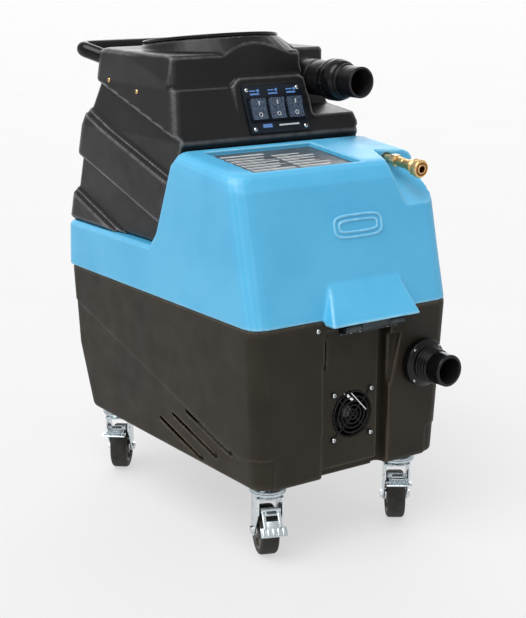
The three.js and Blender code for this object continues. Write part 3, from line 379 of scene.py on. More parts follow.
class Piece:
    """Gathers shapes in working millimetres, then becomes one object that rides on a body."""

    def __init__(self, name, body, *looks):
        self.name, self.body, self.looks = name, body, looks
        self.bm = bmesh.new()

    def take(self, part, where, look):
        faces = len(self.bm.faces)
        mesh = bpy.data.meshes.new("part")
        part.transform(where)
        part.to_mesh(mesh)
        part.free()
        self.bm.from_mesh(mesh)
        bpy.data.meshes.remove(mesh)
        self.bm.faces.ensure_lookup_table()
        for face in self.bm.faces[faces:]:
            face.material_index = look
        return self

    def lathe(self, profile, where=Matrix(), segments=64, look=0, round_by=0.0):
        line = fillet(profile, round_by) if round_by else [Vector(p) for p in profile]
        bm = bmesh.new()
        rings = []
        for r, h in line:
            if r < 1e-6:
                rings.append([bm.verts.new((0, 0, h))] * segments)
                continue
            angles = [2 * math.pi * k / segments for k in range(segments)]
            rings.append([bm.verts.new((r * math.cos(a), r * math.sin(a), h)) for a in angles])
        pairs = list(zip(rings, rings[1:]))
        if line[0][0] > 1e-6:
            pairs.append((rings[-1], rings[0]))
        for low, high in pairs:
            for k in range(segments):
                corners = [low[k], low[(k + 1) % segments], high[(k + 1) % segments], high[k]]
                unique = list(dict.fromkeys(corners))
                if len(unique) > 2:
                    bm.faces.new(unique)
        bmesh.ops.recalc_face_normals(bm, faces=bm.faces)
        return self.take(bm, where, look)

    def block(self, low, high, where=Matrix(), look=0, bevel=0.8, steps=2):
        bm = bmesh.new()
        bmesh.ops.create_cube(bm, size=1)
        low, high = Vector(low), Vector(high)
        bm.transform(Matrix.Translation((low + high) / 2) @ Matrix.Diagonal((*(high - low), 1)))
        if bevel:
            bmesh.ops.bevel(bm, geom=bm.edges[:], offset=bevel, segments=steps, affect="EDGES", profile=SOFT)
        return self.take(bm, where, look)

    def slab(self, outline, depth, where=Matrix(), look=0, bevel=0.5, steps=2):
        """A flat outline in XY, thickened along +Z, with rounded rims."""
        bm = bmesh.new()
        face = bm.faces.new([bm.verts.new((x, y, 0)) for x, y in outline])
        raised = bmesh.ops.extrude_face_region(bm, geom=[face])["geom"]
        top = [v for v in raised if isinstance(v, bmesh.types.BMVert)]
        bmesh.ops.translate(bm, verts=top, vec=(0, 0, depth))
        bmesh.ops.recalc_face_normals(bm, faces=bm.faces)
        if bevel:
            rims = [e for e in bm.edges if abs(e.verts[0].co.z - e.verts[1].co.z) < 1e-6]
            bmesh.ops.bevel(bm, geom=rims, offset=bevel, segments=steps, affect="EDGES", profile=SOFT)
        return self.take(bm, where, look)

    def tube(self, points, radius, sides=24, look=0, closed=False, smooth=True):
        """A round bar along points, through a temporary curve."""
        curve = bpy.data.curves.new("path", "CURVE")
        curve.dimensions = "3D"
        curve.bevel_depth = radius
        curve.bevel_resolution = sides // 4
        curve.use_fill_caps = True
        line = curve.splines.new("NURBS" if smooth else "POLY")
        line.points.add(len(points) - 1)
        for spot, point in zip(line.points, points):
            spot.co = (*point, 1)
        line.use_cyclic_u = closed
        if smooth:
            line.order_u = 3
            line.use_endpoint_u = not closed
            line.resolution_u = 8
        holder = bpy.data.objects.new("path", curve)
        bpy.context.scene.collection.objects.link(holder)
        mesh = baked(holder)
        bm = bmesh.new()
        bm.from_mesh(mesh)
        bpy.data.meshes.remove(mesh)
        return self.take(bm, Matrix(), look)

    def screw(self, at, axis, radius=4.0, look=0, dark=None):
        """A pan-head screw that stands up along the axis, with a cross recess, whose shade is painted as a
        raised near-black cross in the dark look.
        """
        spot = towards(axis, at)
        dome = [(r * radius, h * radius) for r, h in ((0, 0.62), (0.55, 0.55), (0.9, 0.3), (1, 0), (0, 0))]
        self.lathe(dome, spot, 24, look, 0.25 * radius)
        # Painted shade: near-black bars stand on the head where the cross recess would be in shadow.
        if dark is not None:
            arm, half, top = 0.5 * radius, 0.12 * radius, 0.64 * radius
            for a, b in ((arm, half), (half, arm)):
                self.block((-a, -b, 0.3 * radius), (a, b, top), spot, dark, 0)
        return self

    def done(self, stands_for=(), crease=32):
        mesh = bpy.data.meshes.new(self.name)
        self.bm.transform(WORK)
        self.bm.to_mesh(mesh)
        self.bm.free()
        return show(self.name, mesh, self.body, self.looks, stands_for, crease)


def show(name, mesh, body, looks, stands_for=(), crease=32):
    for look in looks:
        mesh.materials.append(LOOKS[look])
    mesh.polygons.foreach_set("use_smooth", [True] * len(mesh.polygons))
    mesh.set_sharp_from_angle(angle=math.radians(crease))
    piece = bpy.data.objects.new(name, mesh)
    bpy.context.scene.collection.objects.link(piece)
    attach(piece, body)
    if stands_for:
        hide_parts(*stands_for)
    return piece


def mould(node, voxel, passes, rounding, look, body, corners=()):
    """A soft-edged skin from a CAD casing: remeshed finely, its edges relaxed, its corners trued."""
    source = bpy.data.objects.new("source", frame["nodes"][node].data.copy())
    bpy.context.scene.collection.objects.link(source)
    remesh = source.modifiers.new("skin", "REMESH")
    remesh.mode = "VOXEL"
    remesh.voxel_size = voxel * MM
    soften = source.modifiers.new("soften", "SMOOTH")
    soften.factor = 0.5
    soften.iterations = passes
    mesh = baked(source)
    mesh.materials.clear()
    true_corners(mesh, corners, rounding)
    return show(f"{node}_moulded", mesh, body, [look], [node], 180)


def true_corners(mesh, corners, reach):
    """Moves points that lie near a casing's upright corner onto its exact rounding.
    Each corner is (side x, side y, centre at height z, radius, lowest z, highest z)."""
    for side_x, side_y, centre, radius, low, high in corners:
        for vertex in mesh.vertices:
            x, y, z = vertex.co.x / MM, (vertex.co.y - MIDDLE) / MM, vertex.co.z / MM
            if not low < z < high:
                continue
            cx, cy = centre(z)
            dx, dy = x - cx, y - cy
            if dx * side_x < 0 or dy * side_y < 0:
                continue
            out = math.hypot(dx, dy)
            if abs(out - radius) < reach:
                vertex.co.x = (cx + dx * radius / out) * MM
                vertex.co.y = (cy + dy * radius / out) * MM + MIDDLE


def keep(node, look, bevel=0.5):
    """A CAD node whose shape is right: it stays, with softened edges and its own material."""
    ob = frame["nodes"][node]
    ob.data.materials.clear()
    ob.data.materials.append(LOOKS[look])
    weld = ob.modifiers.new("weld", "WELD")
    weld.merge_threshold = 0.02 * MM
    if bevel:
        edge = ob.modifiers.new("edge", "BEVEL")
        edge.width = bevel * MM
        edge.segments = 2
        edge.limit_method = "ANGLE"
        edge.angle_limit = math.radians(40)
        edge.use_clamp_overlap = True


# ---------------------------------------------------------------- casings
BASE_TOP, BASE_FLOOR = box_mm("base_housing")[1].z, box_mm("base_housing")[0].z
BASE_HALF, BASE_BACK = 193, 296
SIDE_LEAN, FRONT_LEAN, REAR_BEND, REAR_LEAN = 0.0545, 0.0225, 242, 0.29
FRONT_ROUND, REAR_ROUND = 26, 24
CREASE_DEPTH = 1.6  # the skin below the slanting crease is set back by this much
LOUVRE_FIRST, LOUVRE_STEP, LOUVRE_RAKE = (-56, 155), (-43, 17.4), 15.6  # (y, z) of the lowest, pitch, degrees


FRONT_SLOPE, DECK_SLOPE = 0.229, 0.103  # rise over run of the blue front and of its deck


def base_corners():
    """The base's upright corners. Its sides and front lean in all the way down, its back below a bend."""
    def front(side):
        return lambda z: (side * (BASE_HALF - (BASE_TOP - z) * SIDE_LEAN - FRONT_ROUND),
                          BASE_FRONT + (BASE_TOP - z) * FRONT_LEAN + FRONT_ROUND)

    def rear(side):
        return lambda z: (side * (BASE_HALF - (BASE_TOP - z) * SIDE_LEAN - REAR_ROUND),
                          BASE_BACK - max(0, REAR_BEND - z) * REAR_LEAN - REAR_ROUND)
    low, high = BASE_FLOOR + 8, BASE_TOP - 4
    return [corner for side in (-1, 1) for skin in (0, CREASE_DEPTH)
            for corner in ((side, -1, front(side), FRONT_ROUND - skin, low, high),
                           (side, 1, rear(side), REAR_ROUND - skin, low, high))]


def make_base():
    mould("base_housing", 2.5, 2, 0.75, "charcoal", "base", base_corners())
    lips = Piece("louvre_lips", "base", "charcoal")
    rake = Matrix.Rotation(math.radians(LOUVRE_RAKE), 4, "X")
    for side in (-1, 1):
        for k in range(3):
            y, z = LOUVRE_FIRST[0] + LOUVRE_STEP[0] * k, LOUVRE_FIRST[1] + LOUVRE_STEP[1] * k
            wall = BASE_HALF - (BASE_TOP - z) * SIDE_LEAN - CREASE_DEPTH
            for up, half in ((-4.8, 62), (4.8, 66)):
                spot = Matrix.Translation((side * (wall - 0.6), y, z + up)) @ rake
                lips.block((-1.5, -half, -1.1), (1.5, half, 1.1), spot, 0, 1.0, 3)
    lips.done()
    screws = Piece("front_screws", "base", "steel", "recess_shade")
    screws.screw((-74, BASE_FRONT + 0.1, 371), (0, -1, 0), 4.0, 0, 1)
    leaf = box_mm("base_hinge_leaf")
    for x in (-14, 3.5, 59, 76):
        screws.screw((x, -292.7, leaf[0].z + 3.2), (0, -1, 0), 2.8, 0, 1)
    screws.done()


def rounded_bar(half_x, half_y, count=48):
    """A closed outline between an ellipse and a rectangle."""
    def bulge(v):
        return math.copysign(abs(v) ** 0.5, v)
    return [(half_x * bulge(math.cos(a)), half_y * bulge(math.sin(a)), -0.3)
            for a in (2 * math.pi * k / count for k in range(count))]


def front_badge():
    """A plain embossed double bar on the blue front."""
    badge = Piece("front_badge", "tanks", "blue")
    lean = Matrix.Rotation(-math.atan(FRONT_SLOPE), 4, "X")
    face = Matrix.Translation((24, -258.2, 519.3)) @ lean @ Matrix.Rotation(math.pi / 2, 4, "X")
    for half_x, half_y in ((46, 17), (37, 9)):
        badge.tube([face @ Vector(p) for p in rounded_bar(half_x, half_y)], 2.2, 16, closed=True)
    badge.done()


def cover_label():
    """The label on the lift-out cover: a dark film with rows of plain pale bars in two columns."""
    low, high = box_mm("fill_cover")
    tilt = math.atan(DECK_SLOPE)
    mid = (low + high) / 2
    half_x = (high.x - low.x) / 2
    half_y = (high.y - low.y) / 2 / math.cos(tilt) - 0.6
    top = high.z - half_y * math.sin(tilt)
    spot = Matrix.Translation((mid.x, mid.y, top)) @ Matrix.Rotation(tilt, 4, "X")
    cover = Piece("fill_cover_label", "fill_cover", "label", "pale")
    cover.block((-half_x + 8, -half_y + 7, -0.3), (half_x - 8, half_y - 7, 0.25), spot, 0, 0.2)
    for row in range(7):
        y = half_y - 20 - row * 14.5
        for column, (x0, x1) in enumerate(((-half_x + 15, -6), (0, half_x - 30))):
            if row == 0 and column == 1:
                continue
            thick = 3.2 if row == 0 else 2.1
            long, short = x1 - 9 * ((row + column) % 3), x1 - 14 * ((row * 2 + column) % 4)
            cover.block((x0, y - thick, 0.2), (long, y + thick, 0.42), spot, 1, 0)
            if row:
                cover.block((x0, y - thick - 4.6, 0.2), (short, y - thick - 2.8, 0.4), spot, 1, 0)
    cover.done()


def make_solution_tank():
    mould("solution_tank", 2.5, 3, 1.6, "blue", "tanks")
    front_badge()
    cover_label()
    keep("fill_cover", "label")


def make_recovery_tank():
    mould("recovery_tank", 2.5, 1, 1.6, "tank", "tanks")
    studs = Piece("side_studs", "tanks", "brass", "recess_shade")
    for side in (-1, 1):
        for y, z in ((175.9, 718.4), (79.3, 707)):
            wall = 167.5 + max(0, 717 - z) * 0.246
            studs.screw((side * (wall - 0.4), y, z), (side, 0, 0), 4.2, 0, 1)
    studs.done()


# ---------------------------------------------------------------- lid, collar and handle
LID_AT, LID_TILT = (-12, 104, 788), 7
LID_SPOT = Matrix.Translation(LID_AT) @ Matrix.Rotation(-math.radians(LID_TILT), 4, "X")


def make_lid():
    """The thin dark rim and the ribbed lid lie on one axis that leans back."""
    collar = Piece("lid_collar_ring", "tanks", "gloss")
    rim = [(98, -5.7), (112.6, -5.7), (114, -4.6), (114, -1.2), (112.8, 0), (106, 0), (106, -4), (98, -4)]
    collar.lathe(rim, LID_SPOT, 128, 0, 0.5)
    collar.done(["lid_collar"])
    lid = Piece("lid_dish", "lid", "lid", "gloss")
    lid.lathe([(0, -8.9), (93.4, -8.9), (96.6, -3.6), (104.9, -3.6), (104.9, -1.3), (104.2, -0.9), (99, -0.9),
               (94, -2.4), (60, -3.0), (0, -3.0)], LID_SPOT, 128, 0, 0.8)
    rib = [(-70, -3), (-64, -6), (64, -6), (70, -3), (70, 3), (64, 6), (-64, 6), (-70, 3)]
    for turn in (0, 90):
        spot = LID_SPOT @ Matrix.Rotation(math.radians(turn), 4, "Z") @ Matrix.Translation((0, 0, -3.6))
        lid.slab(rib, 2.6, spot, 0, 0.9, 3)
    lid.lathe([(0, -3.4), (17, -3.4), (17, -1.6), (15, -0.92), (0, -0.92)], LID_SPOT, 64, 1, 0.6)
    lid.done(["lid"])


def make_handle():
    y, z, bar = 279, 765, 13.2
    bend = [(140, 229, 750), (144, 240, 753.5), (154, 256, 759), (162, 268, 763.4), (159, 277.5, 764.8),
            (147, y, z), (128, y, z)]
    path = [*bend, (0, y, z), *[(-across, *rest) for across, *rest in reversed(bend)]]
    grip = Piece("handle_bar", "tanks", "gloss", "steel", "recess_shade")
    grip.tube(path, bar, 40)
    lean = math.atan(0.31)
    for x in (-134, 134):
        flange = towards((0, math.cos(lean), math.sin(lean)), (x, 226.7, 750))
        grip.lathe([(0, 0), (18.7, 0), (18.7, 3.2), (17, 4.6), (13, 5), (0, 5)], flange, 48, 0, 1)
        for k in range(3):
            turn = math.radians(90 + 120 * k)
            grip.screw(flange @ Vector((15.8 * math.cos(turn), 15.8 * math.sin(turn), 4.0)),
                       flange.to_3x3() @ Vector((0, 0, 1)), 2.0, 1, 2)
    grip.done(["handle"])


# ---------------------------------------------------------------- hose ports
def make_inlet():
    centre = middle_mm("inlet_body")
    along = towards((0, 1, 0), (centre.x, 0, centre.z))
    body = Piece("inlet_barrel", "tanks", "inlet")
    body.lathe([(20, -57), (27, -57), (29.8, -54), (30, -30), (28.6, -28), (28.6, -24), (30, -22), (30, 12),
                (31.4, 14), (31.4, 25.4), (23.4, 25.4), (23.4, 44), (20, 44)], along, 96, 0, 1)
    body.done(["inlet_body"])
    nut = Piece("inlet_ring_nut", "tanks", "gloss")
    nut.lathe([(20, -97), (28.8, -97), (31.8, -93), (34.8, -83), (34.9, -75), (34.2, -74.4), (34.2, -73.4),
               (34.9, -72.8), (34.9, -66), (33, -60.5), (31.4, -57.4), (20, -57.4)], along, 128, 0, 1.2)
    nut.done(["inlet_nut"])
    spout = Piece("inlet_cuff", "tanks", "inlet")
    spout.lathe([(22, -140), (24.9, -140), (25.5, -138.6), (25.5, -118), (25.1, -117), (25.1, -115),
                 (25.5, -114), (25.5, -104), (27.9, -102), (27.9, -97.4), (20, -97.4), (22, -104)],
                along, 96, 0, 0.7)
    spout.done(["inlet_spout"])


def make_port():
    centre = middle_mm("exhaust_port")
    along = towards((0, 1, 0), (centre.x, 0, centre.z))
    port = Piece("exhaust_cuff", "base", "gloss", "steel", "recess_shade")
    cuff = [(21, -357), (23, -356.9), (25.2, -357), (25.9, -355.6), (25.9, -331)]
    for k in range(4):
        y, wider = -330 + 6 * k, 0.5 * k
        cuff += [(25.9 + 0.4 * k, y), (28.2 + wider, y + 1.2)]
        cuff += [(28.2 + wider, y + 3.6), (26.2 + wider, y + 4.8)]
    cuff += [(31, -306.5), (33, -305), (37.6, -302.4), (38.9, -301), (38.9, -289.4), (23.4, -289.4),
             (23.4, -262), (21, -262)]
    port.lathe(cuff, along, 96, 0, 0.8)
    for k in range(4):
        turn = math.radians(45 + 90 * k)
        at = along @ Vector((35.2 * math.cos(turn), 35.2 * math.sin(turn), -303.2))
        port.screw(at, (0, -1, 0), 2.4, 1, 2)
    port.done(["exhaust_port"])


FITTING_AT = (150, -180, 603)


def make_fitting():
    """The brass coupling: its stem, its hexagon and its knurled sliding sleeve."""
    along = towards(JOINTS["sleeve_slide"]["axis"], FITTING_AT)
    stem = Piece("coupling_stem", "tanks", "brass", "copper")
    stem.lathe([(4, 14), (4, -57), (5.9, -59), (5.9, -80), (7.4, -80), (7.9, -79), (7.9, -58), (9.4, -56),
                (9.4, -50), (8, -48), (8, -40), (7.4, -39), (7.4, -37), (8, -36), (8, -22), (6, -20),
                (6, 14)], along, 64, 0, 0.5)
    hexagon = [(10.6 * math.cos(a), 10.6 * math.sin(a)) for a in (math.radians(60 * k) for k in range(6))]
    stem.slab(hexagon, 11.4, along @ Matrix.Translation((0, 0, -19.4)), 0, 1, 3)
    stem.lathe([(5.9, -79.8), (5.4, -79.8), (5.4, -60), (5.9, -60)], along, 48, 1)
    stem.done(["solution_fitting"])
    sleeve = Piece("coupling_sleeve", "fitting_sleeve", "brass", "copper")
    sleeve.lathe([(8.5, -79), (13.2, -79), (14.4, -77.4), (14.5, -72.3), (12.3, -70.2), (12.2, -65),
                  (13.8, -63.1), (8.5, -63.1)], along, 96, 0, 0.5)
    sleeve.lathe([(8.6, -79.05), (11.4, -79.1), (11.4, -78.6), (8.6, -78.6)], along, 64, 1)
    for k in range(40):
        turn = Matrix.Rotation(2 * math.pi * k / 40, 4, "Z")
        sleeve.block((14.1, -0.6, -76.8), (14.9, 0.6, -72.6), along @ turn, 0, 0.35, 1)
    for k in range(24):
        turn = Matrix.Rotation(2 * math.pi * k / 24, 4, "Z")
        sleeve.block((12.0, -0.7, -70), (12.6, 0.7, -65.2), along @ turn, 0, 0.25, 1)
    sleeve.done(["fitting_sleeve"])


def make_drain():
    keep("drain_valve", "brass", 0.6)
    low = box_mm("drain_lever")[0]
    pivot = joint_mm("drain_turn")
    lever = Piece("drain_handle", "drain_lever", "red", "steel")
    at = Matrix.Translation((pivot.x, pivot.y, low.z))
    lever.lathe([(0, 0), (7.8, 0), (7.8, 4.6), (0, 4.6)], at, 48, 1, 0.8)
    arm = [(-5.8, 3), (-3, 5.8), (10, 5.8), (22, 5.6), (56, 6.6), (61.6, 4), (61.6, -4), (56, -6), (22, -5),
           (10, -5.6), (-3, -5.8), (-5.8, -3)]
    lever.slab(arm, 3.4, at @ Matrix.Translation((0, 0, 1.3)), 0, 1.1, 3)
    lever.screw(at @ Vector((0, 0, 4.4)), (0, 0, 1), 1.0, 1)
    lever.done(["drain_lever"])


# ---------------------------------------------------------------- switch panel
def make_panel():
    tilt = Matrix.Rotation(math.radians(-24), 4, "X")
    at = middle_mm("switch_panel")
    low, high = box_mm("switch_panel")
    pitch, half_x, half_z = 36, (high.x - low.x) / 2 - 0.1, 39.9
    spot = Matrix.Translation((at.x, -46.9, 679)) @ tilt
    flat = spot @ Matrix.Rotation(math.radians(90), 4, "X")  # an outline's XY lies on the panel, +Z out
    panel = Piece("panel_plate", "tanks", "panel", "mark", "pale")
    strips = [(-half_x, -half_z, half_x, -19.4), (-half_x, 19.4, half_x, half_z)]
    strips += [(-half_x, -19.5, -pitch - 15.9, 19.5), (pitch + 15.9, -19.5, half_x, 19.5)]
    strips += [(x - 2.2, -19.5, x + 2.2, 19.5) for x in (-pitch / 2, pitch / 2)]
    for x0, z0, x1, z1 in strips:
        panel.block((x0, z0, 0.1), (x1, z1, 2.9), flat, 0, 0.35)
    bezel = ((-17, -20, 17, -18.7), (-17, 18.7, 17, 20), (-17, -20, -15.7, 20), (15.7, -20, 17, 20))
    for k in (-1, 0, 1):
        x = k * pitch
        for x0, z0, x1, z1 in bezel:
            panel.block((x + x0, z0, 1.5), (x + x1, z1, 5.9), flat, 0, 0.5)
        panel.block((x - 9, 24.5, 2.8), (x + 9, 27.4, 3.15), flat, 1, 0)
        panel.block((x - 9, 30.5, 2.8), (x + 3, 32.5, 3.15), flat, 1, 0)
        lamp = flat @ Matrix.Translation((x + 7.5, 31.5, 0))
        panel.lathe([(0, 2.8), (2.6, 2.8), (2.6, 3.25), (0, 3.25)], lamp, 24, 1)
    panel.block((-34, -31, 2.8), (-16, -25, 3.15), flat, 1, 0)
    panel.block((-2, -29.5, 2.8), (38, -26.8, 3.15), flat, 2, 0)
    panel.done(["switch_panel"])
    for name, (x, z) in {"top_left": (-50, 33), "top_right": (50, 33), "bottom_left": (-50, -33),
                         "bottom_right": (50, -33)}.items():
        screw = Piece(f"panel_screw_head_{name}", "tanks", "steel", "recess_shade")
        screw.screw(flat @ Vector((x, z, 3.1)), flat.to_3x3() @ Vector((0, 0, 1)), 4.0, 0, 1)
        screw.done([f"panel_screw_{name}"])
    for name in ("heater", "pump", "vacuum"):
        pivot = joint_mm(f"{name}_switch")
        rest = tilt @ Matrix.Rotation(math.radians(7), 4, "X")
        side = Matrix.Translation(pivot) @ rest @ Matrix.Translation((-14.4, 0, 0)) @ UPRIGHT
        boot = Piece(f"rocker_{name}_boot", f"rocker_{name}", "boot", "pale")
        curve = [(-5.0 - 1.3 * (z / 17.3) ** 2, z) for z in (-17.3, -13, -9, -4.5, 0, 4.5, 9, 13, 17.3)]
        outline = [(0.7, 13.6), (-2.8, 17.3), *reversed(curve), (-2.8, -17.3), (0.7, -13.6)]
        boot.slab(outline, 28.8, side, 0, 0.9, 3)
        face = Matrix.Translation(pivot) @ rest
        boot.block((-1, -6.35, 6), (1, -5.0, 13), face, 1, 0.3)
        ring = face @ towards((0, -1, 0), (0, -5.2, -9.5))
        boot.lathe([(2.6, 0), (3.6, 0), (3.6, 1), (2.6, 1)], ring, 32, 1)
        boot.done([f"rocker_{name}"])


# ---------------------------------------------------------------- fan and base fittings
def make_fan():
    centre = middle_mm("fan_frame")
    face = box_mm("fan_grille")[1].y
    guard = Piece("fan_guard", "base", "matte", "steel", "recess_shade")

    def ring(radius, y):
        points = [(centre.x + radius * math.cos(a), y, centre.z + radius * math.sin(a))
                  for a in (2 * math.pi * k / 48 for k in range(48))]
        guard.tube(points, 1.15, 12, look=0, closed=True)

    ring(37.3, face - 1.5)
    for radius in (8, 15, 22, 29.5):
        ring(radius, face - 2.7)
    for turn in (45, 135):
        c, s = math.cos(math.radians(turn)), math.sin(math.radians(turn))
        points = [(centre.x + r * c, face - 1.3 if abs(r) > 37 else face - 1.6, centre.z + r * s)
                  for r in (-51, -38, 0, 38, 51)]
        guard.tube(points, 1.15, 12, look=0)
        for r in (-52, 52):
            eye = (centre.x + r * c, face - 0.9, centre.z + r * s)
            guard.lathe([(1.5, 0), (4.9, 0), (4.9, 1.3), (1.5, 1.3)], towards((0, -1, 0), eye), 32, 0, 0.3)
            guard.screw((eye[0], face - 1.9, eye[2]), (0, -1, 0), 4.0, 1, 2)
    # Painted highlight: a bright steel wire inside the guard stands for a streak of light across it.
    glint = [(centre.x - 5, face - 3.2, centre.z + 36), (centre.x + 25, face - 3.2, centre.z + 4)]
    guard.tube(glint, 1.0, 12, look=1, smooth=False)
    guard.done(["fan_grille"])
    keep("fan_frame", "gloss", 0.6)
    hub = joint_mm("fan_spin")
    blades = Piece("fan_rotor", "fan_impeller", "matte", "label")
    start = box_mm("fan_impeller")[0].y
    along = towards((0, 1, 0), (hub.x, start, hub.z))
    blades.lathe([(0, 0.1), (12.6, 0.1), (13.9, 1.4), (13.9, 15.8), (0, 15.8)], along, 64, 0, 1.2)
    blades.lathe([(0, 0.02), (9, 0.02), (9, 0.3), (0, 0.3)], along, 48, 1)
    blade = [(12.5, -5.5), (22, -7), (32.5, -7.4), (34.3, -5), (34.3, 5), (32, 7.2), (22, 6.6), (12.5, 5.5)]
    for k in range(7):
        spin = along @ Matrix.Rotation(2 * math.pi * k / 7, 4, "Z")
        twist = Matrix.Translation((0, 0, 8.3)) @ Matrix.Rotation(math.radians(36), 4, "X")
        blades.slab(blade, 1.3, spin @ twist @ Matrix.Translation((0, 0, -0.65)), 0, 0.45, 2)
    blades.done(["fan_impeller"])


def make_hinge():
    keep("base_hinge_leaf", "dark_zinc", 0.5)
    keep("tank_hinge_leaf", "dark_zinc", 0.5)
    pin = middle_mm("hinge_pin")
    low, high = box_mm("hinge_pin")
    rod = Piece("hinge_rod", "base", "dark_zinc")
    half = (high.x - low.x) / 2
    rod.lathe([(0, -half), (2.9, -half), (3.4, -half + 0.8), (3.4, half - 0.8), (2.9, half), (0, half)],
              towards((1, 0, 0), pin), 32, 0, 0.3)
    rod.done(["hinge_pin"])


def make_inlets():
    for side in ("left", "right"):
        keep(f"power_inlet_{side}", "gloss", 0.8)
        low, high = box_mm(f"power_inlet_{side}")
        x, z, back = (low.x + high.x) / 2, (low.z + high.z) / 2, high.y
        trim = Piece(f"inlet_pins_{side}", "base", "brass", "steel", "recess_shade")
        for dx, dz in ((-6, -1.5), (0, 2.5), (6, -1.5)):
            pin = Matrix.Translation((x + dx, back, z + dz))
            trim.block((-1, -16.8, -2.2), (1, -6, 2.2), pin, 0, 0.5)
        for dx in (-19.8, 19.8):
            trim.screw((x + dx, back - 1.6, z), (0, 1, 0), 2.4, 1, 2)
        trim.done()


def make_insides():
    for node in ("vacuum_standpipe", "vacuum_bend", "float_cage"):
        keep(node, "white")
    keep("float_ball", "red", 0)
    for node in ("vacuum_motor", "solution_pump", "inline_heater"):
        keep(node, "cast", 1.5)
    keep("exhaust_hose", "rubber", 0)


# ---------------------------------------------------------------- casters
def caster_plate(corner):
    low, high = box_mm(f"caster_plate_{corner}")
    x, y, top = (low.x + high.x) / 2, (low.y + high.y) / 2, high.z
    plate = Piece(f"mounting_plate_{corner}", "base", "zinc", "steel")
    plate.block((x - 29.8, y - 25.8, top - 3), (x + 29.8, y + 25.8, top), Matrix(), 0, 1.2, 3)
    plate.lathe([(0, top - 2.5), (27.5, top - 2.5), (25.5, top - 5.4), (23.6, top - 7.8), (0, top - 7.8)],
                Matrix.Translation((x, y, 0)), 64, 0, 0.8)
    for dx in (-24, 24):
        for dy in (-20.5, 20.5):
            plate.lathe([(0, -4.6), (4.2, -4.6), (4.8, -4), (4.8, -2.7), (0, -2.7)],
                        Matrix.Translation((x + dx, y + dy, top)), 6, 1, 0.3)
    plate.done([f"caster_plate_{corner}"])


def caster_fork(corner, swivel):
    fork = Piece(f"caster_yoke_{corner}", f"fork_{corner}", "zinc", "dark_zinc", "steel")
    top = BASE_FLOOR - 8.6
    fork.lathe([(0, top - 12.4), (24.6, top - 12.4), (28.7, top - 6.8), (28.9, top - 3.4), (28.4, top - 0.4),
                (26.5, top - 0.1), (0, top - 0.1)], swivel, 64, 0, 1)
    fork.lathe([(25.4, top - 4), (29, top - 4), (29, top - 3), (25.4, top - 3)], swivel, 64, 1)
    fork.block((-22, -21.6, top - 15.2), (22, 23.6, top - 11.4), swivel, 0, 1.6, 3)
    leg = [(-22, top - 11.4), (23.6, top - 11.4), (23.6, top - 27)]
    leg += [(16 + 9.2 * math.cos(a), 40 + 9.2 * math.sin(a))
            for a in (math.radians(10 - 20 * k) for k in range(10))]
    leg += [(-21.6, top - 38.6)]
    for x0 in (-21, 18.3):
        side = swivel @ Matrix.Translation((x0, 0, 0)) @ UPRIGHT
        fork.slab(leg, 2.7, side, 0, 0.7, 2)
    for side in (-1, 1):
        out = swivel @ towards((side, 0, 0), (0, 16, 40))
        fork.lathe([(0, 17.6), (8, 17.6), (8, 21.6), (0, 21.6)], out, 48, 2, 0.5)
        fork.lathe([(0, 21), (6.6, 21), (6.6, 24.4), (5.8, 25), (0, 25)], out, 6, 2, 0.4)
        rivet = swivel @ towards((side, 0, 0), (0, -16, top - 32.4))
        fork.lathe([(0, 20.4), (3.4, 20.4), (3.2, 21.8), (1.6, 22.5), (0, 22.5)], rivet, 32, 2, 0.4)
    fork.tube([swivel @ Vector((x, 16, 40)) for x in (-24, 0, 24)], 3.9, 24, look=2, smooth=False)
    fork.done([f"caster_fork_{corner}"])


def caster_wheel(corner):
    joint = JOINTS[f"roll_{corner}"]
    along = towards(joint["axis"], joint_mm(f"roll_{corner}"))
    wheel = Piece(f"wheel_{corner}", f"wheel_{corner}", "rubber", "hub", "steel")
    tread = [(30.2, -13)]
    for first, middle in ((-80, -9), (0, 9)):
        tread += [(34 + 6 * math.cos(a), middle + 6 * math.sin(a))
                  for a in (math.radians(first + 16 * k) for k in range(6))]
    wheel.lathe([*tread, (30.2, 13)], along, 128, 0)
    wheel.lathe([(30.4, -14), (30.4, 14), (28.4, 14.4), (26, 10), (15, 9), (12.4, 14.6), (9, 15), (9, -15),
                 (12.4, -14.6), (15, -9), (26, -10), (28.4, -14.4)], along, 96, 1, 0.8)
    for k in range(6):
        spoke = along @ Matrix.Rotation(math.pi * k / 3, 4, "Z")
        for z0, z1 in ((-12.6, -9), (9, 12.6)):
            wheel.block((12, -1.6, z0), (28, 1.6, z1), spoke, 1, 0.6)
    wheel.lathe([(4.6, -17.2), (8.8, -17.2), (8.8, 17.2), (4.6, 17.2)], along, 48, 2, 0.4)
    wheel.done([f"caster_wheel_{corner}"])


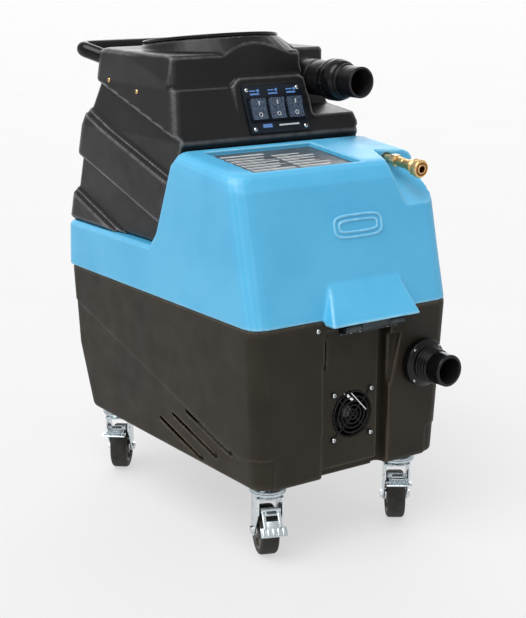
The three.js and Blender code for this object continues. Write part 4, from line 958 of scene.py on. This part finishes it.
def caster_pedal(corner, down):
    joint = JOINTS[f"brake_{corner}"]
    axis = Vector(joint["axis"])
    turn = math.atan2(axis.y, axis.x)
    spot = Matrix.Translation(joint_mm(f"brake_{corner}")) @ Matrix.Rotation(turn, 4, "Z")
    bent = spot @ Matrix.Rotation(math.radians(50 if down else 4), 4, "X")
    pedal = Piece(f"brake_pedal_{corner}", f"pedal_{corner}", "zinc", "dark_zinc")
    pedal.block((-15, 0.4, -1.2), (15, 1.9, 1.2), bent, 0, 0.5)
    for x0, x1 in ((-15, -9.6), (9.6, 15)):
        pedal.block((x0, -33.8, -1.2), (x1, 1.8, 1.2), bent, 0, 0.5)
    for y0, y1 in ((-11.6, 0.8), (-34, -20.4)):
        pedal.block((-14.6, y0, -1.1), (14.6, y1, 1.15), bent, 0, 0.4)
    pedal.block((-20.9, -45.9, -1.2), (20.9, -30.2, 1.2), bent, 0, 1.0, 3)
    for k in range(5):
        pedal.block((-17 + 8 * k - 1.1, -43.8, 0.9), (-17 + 8 * k + 3.1, -32.6, 1.5), bent, 0, 0.3)
    pedal.block((-8, -8.6, 0.8), (8, -3.6, 1.6), bent, 1, 0.4)
    pedal.tube([spot @ Vector((x, 0, -2)) for x in (-15.8, 15.8)], 3.8, 24, look=0, smooth=False)
    pedal.done([f"caster_pedal_{corner}"])


def make_casters():
    for corner in CORNERS:
        caster_plate(corner)
        at = joint_mm(f"swivel_{corner}")
        axis = Vector(JOINTS[f"roll_{corner}"]["axis"])
        turn = math.atan2(axis.y, axis.x)
        caster_fork(corner, Matrix.Translation((at.x, at.y, 0)) @ Matrix.Rotation(turn, 4, "Z"))
        caster_wheel(corner)
        caster_pedal(corner, corner == "front_left")


# ---------------------------------------------------------------- the whole machine
make_camera()
make_light()
LOOKS = make_looks()
make_floor()
make_base()
make_solution_tank()
make_recovery_tank()
make_lid()
make_handle()
make_inlet()
make_port()
make_fitting()
make_drain()
make_panel()
make_fan()
make_hinge()
make_inlets()
make_insides()
make_casters()

bpy.context.view_layer.update()
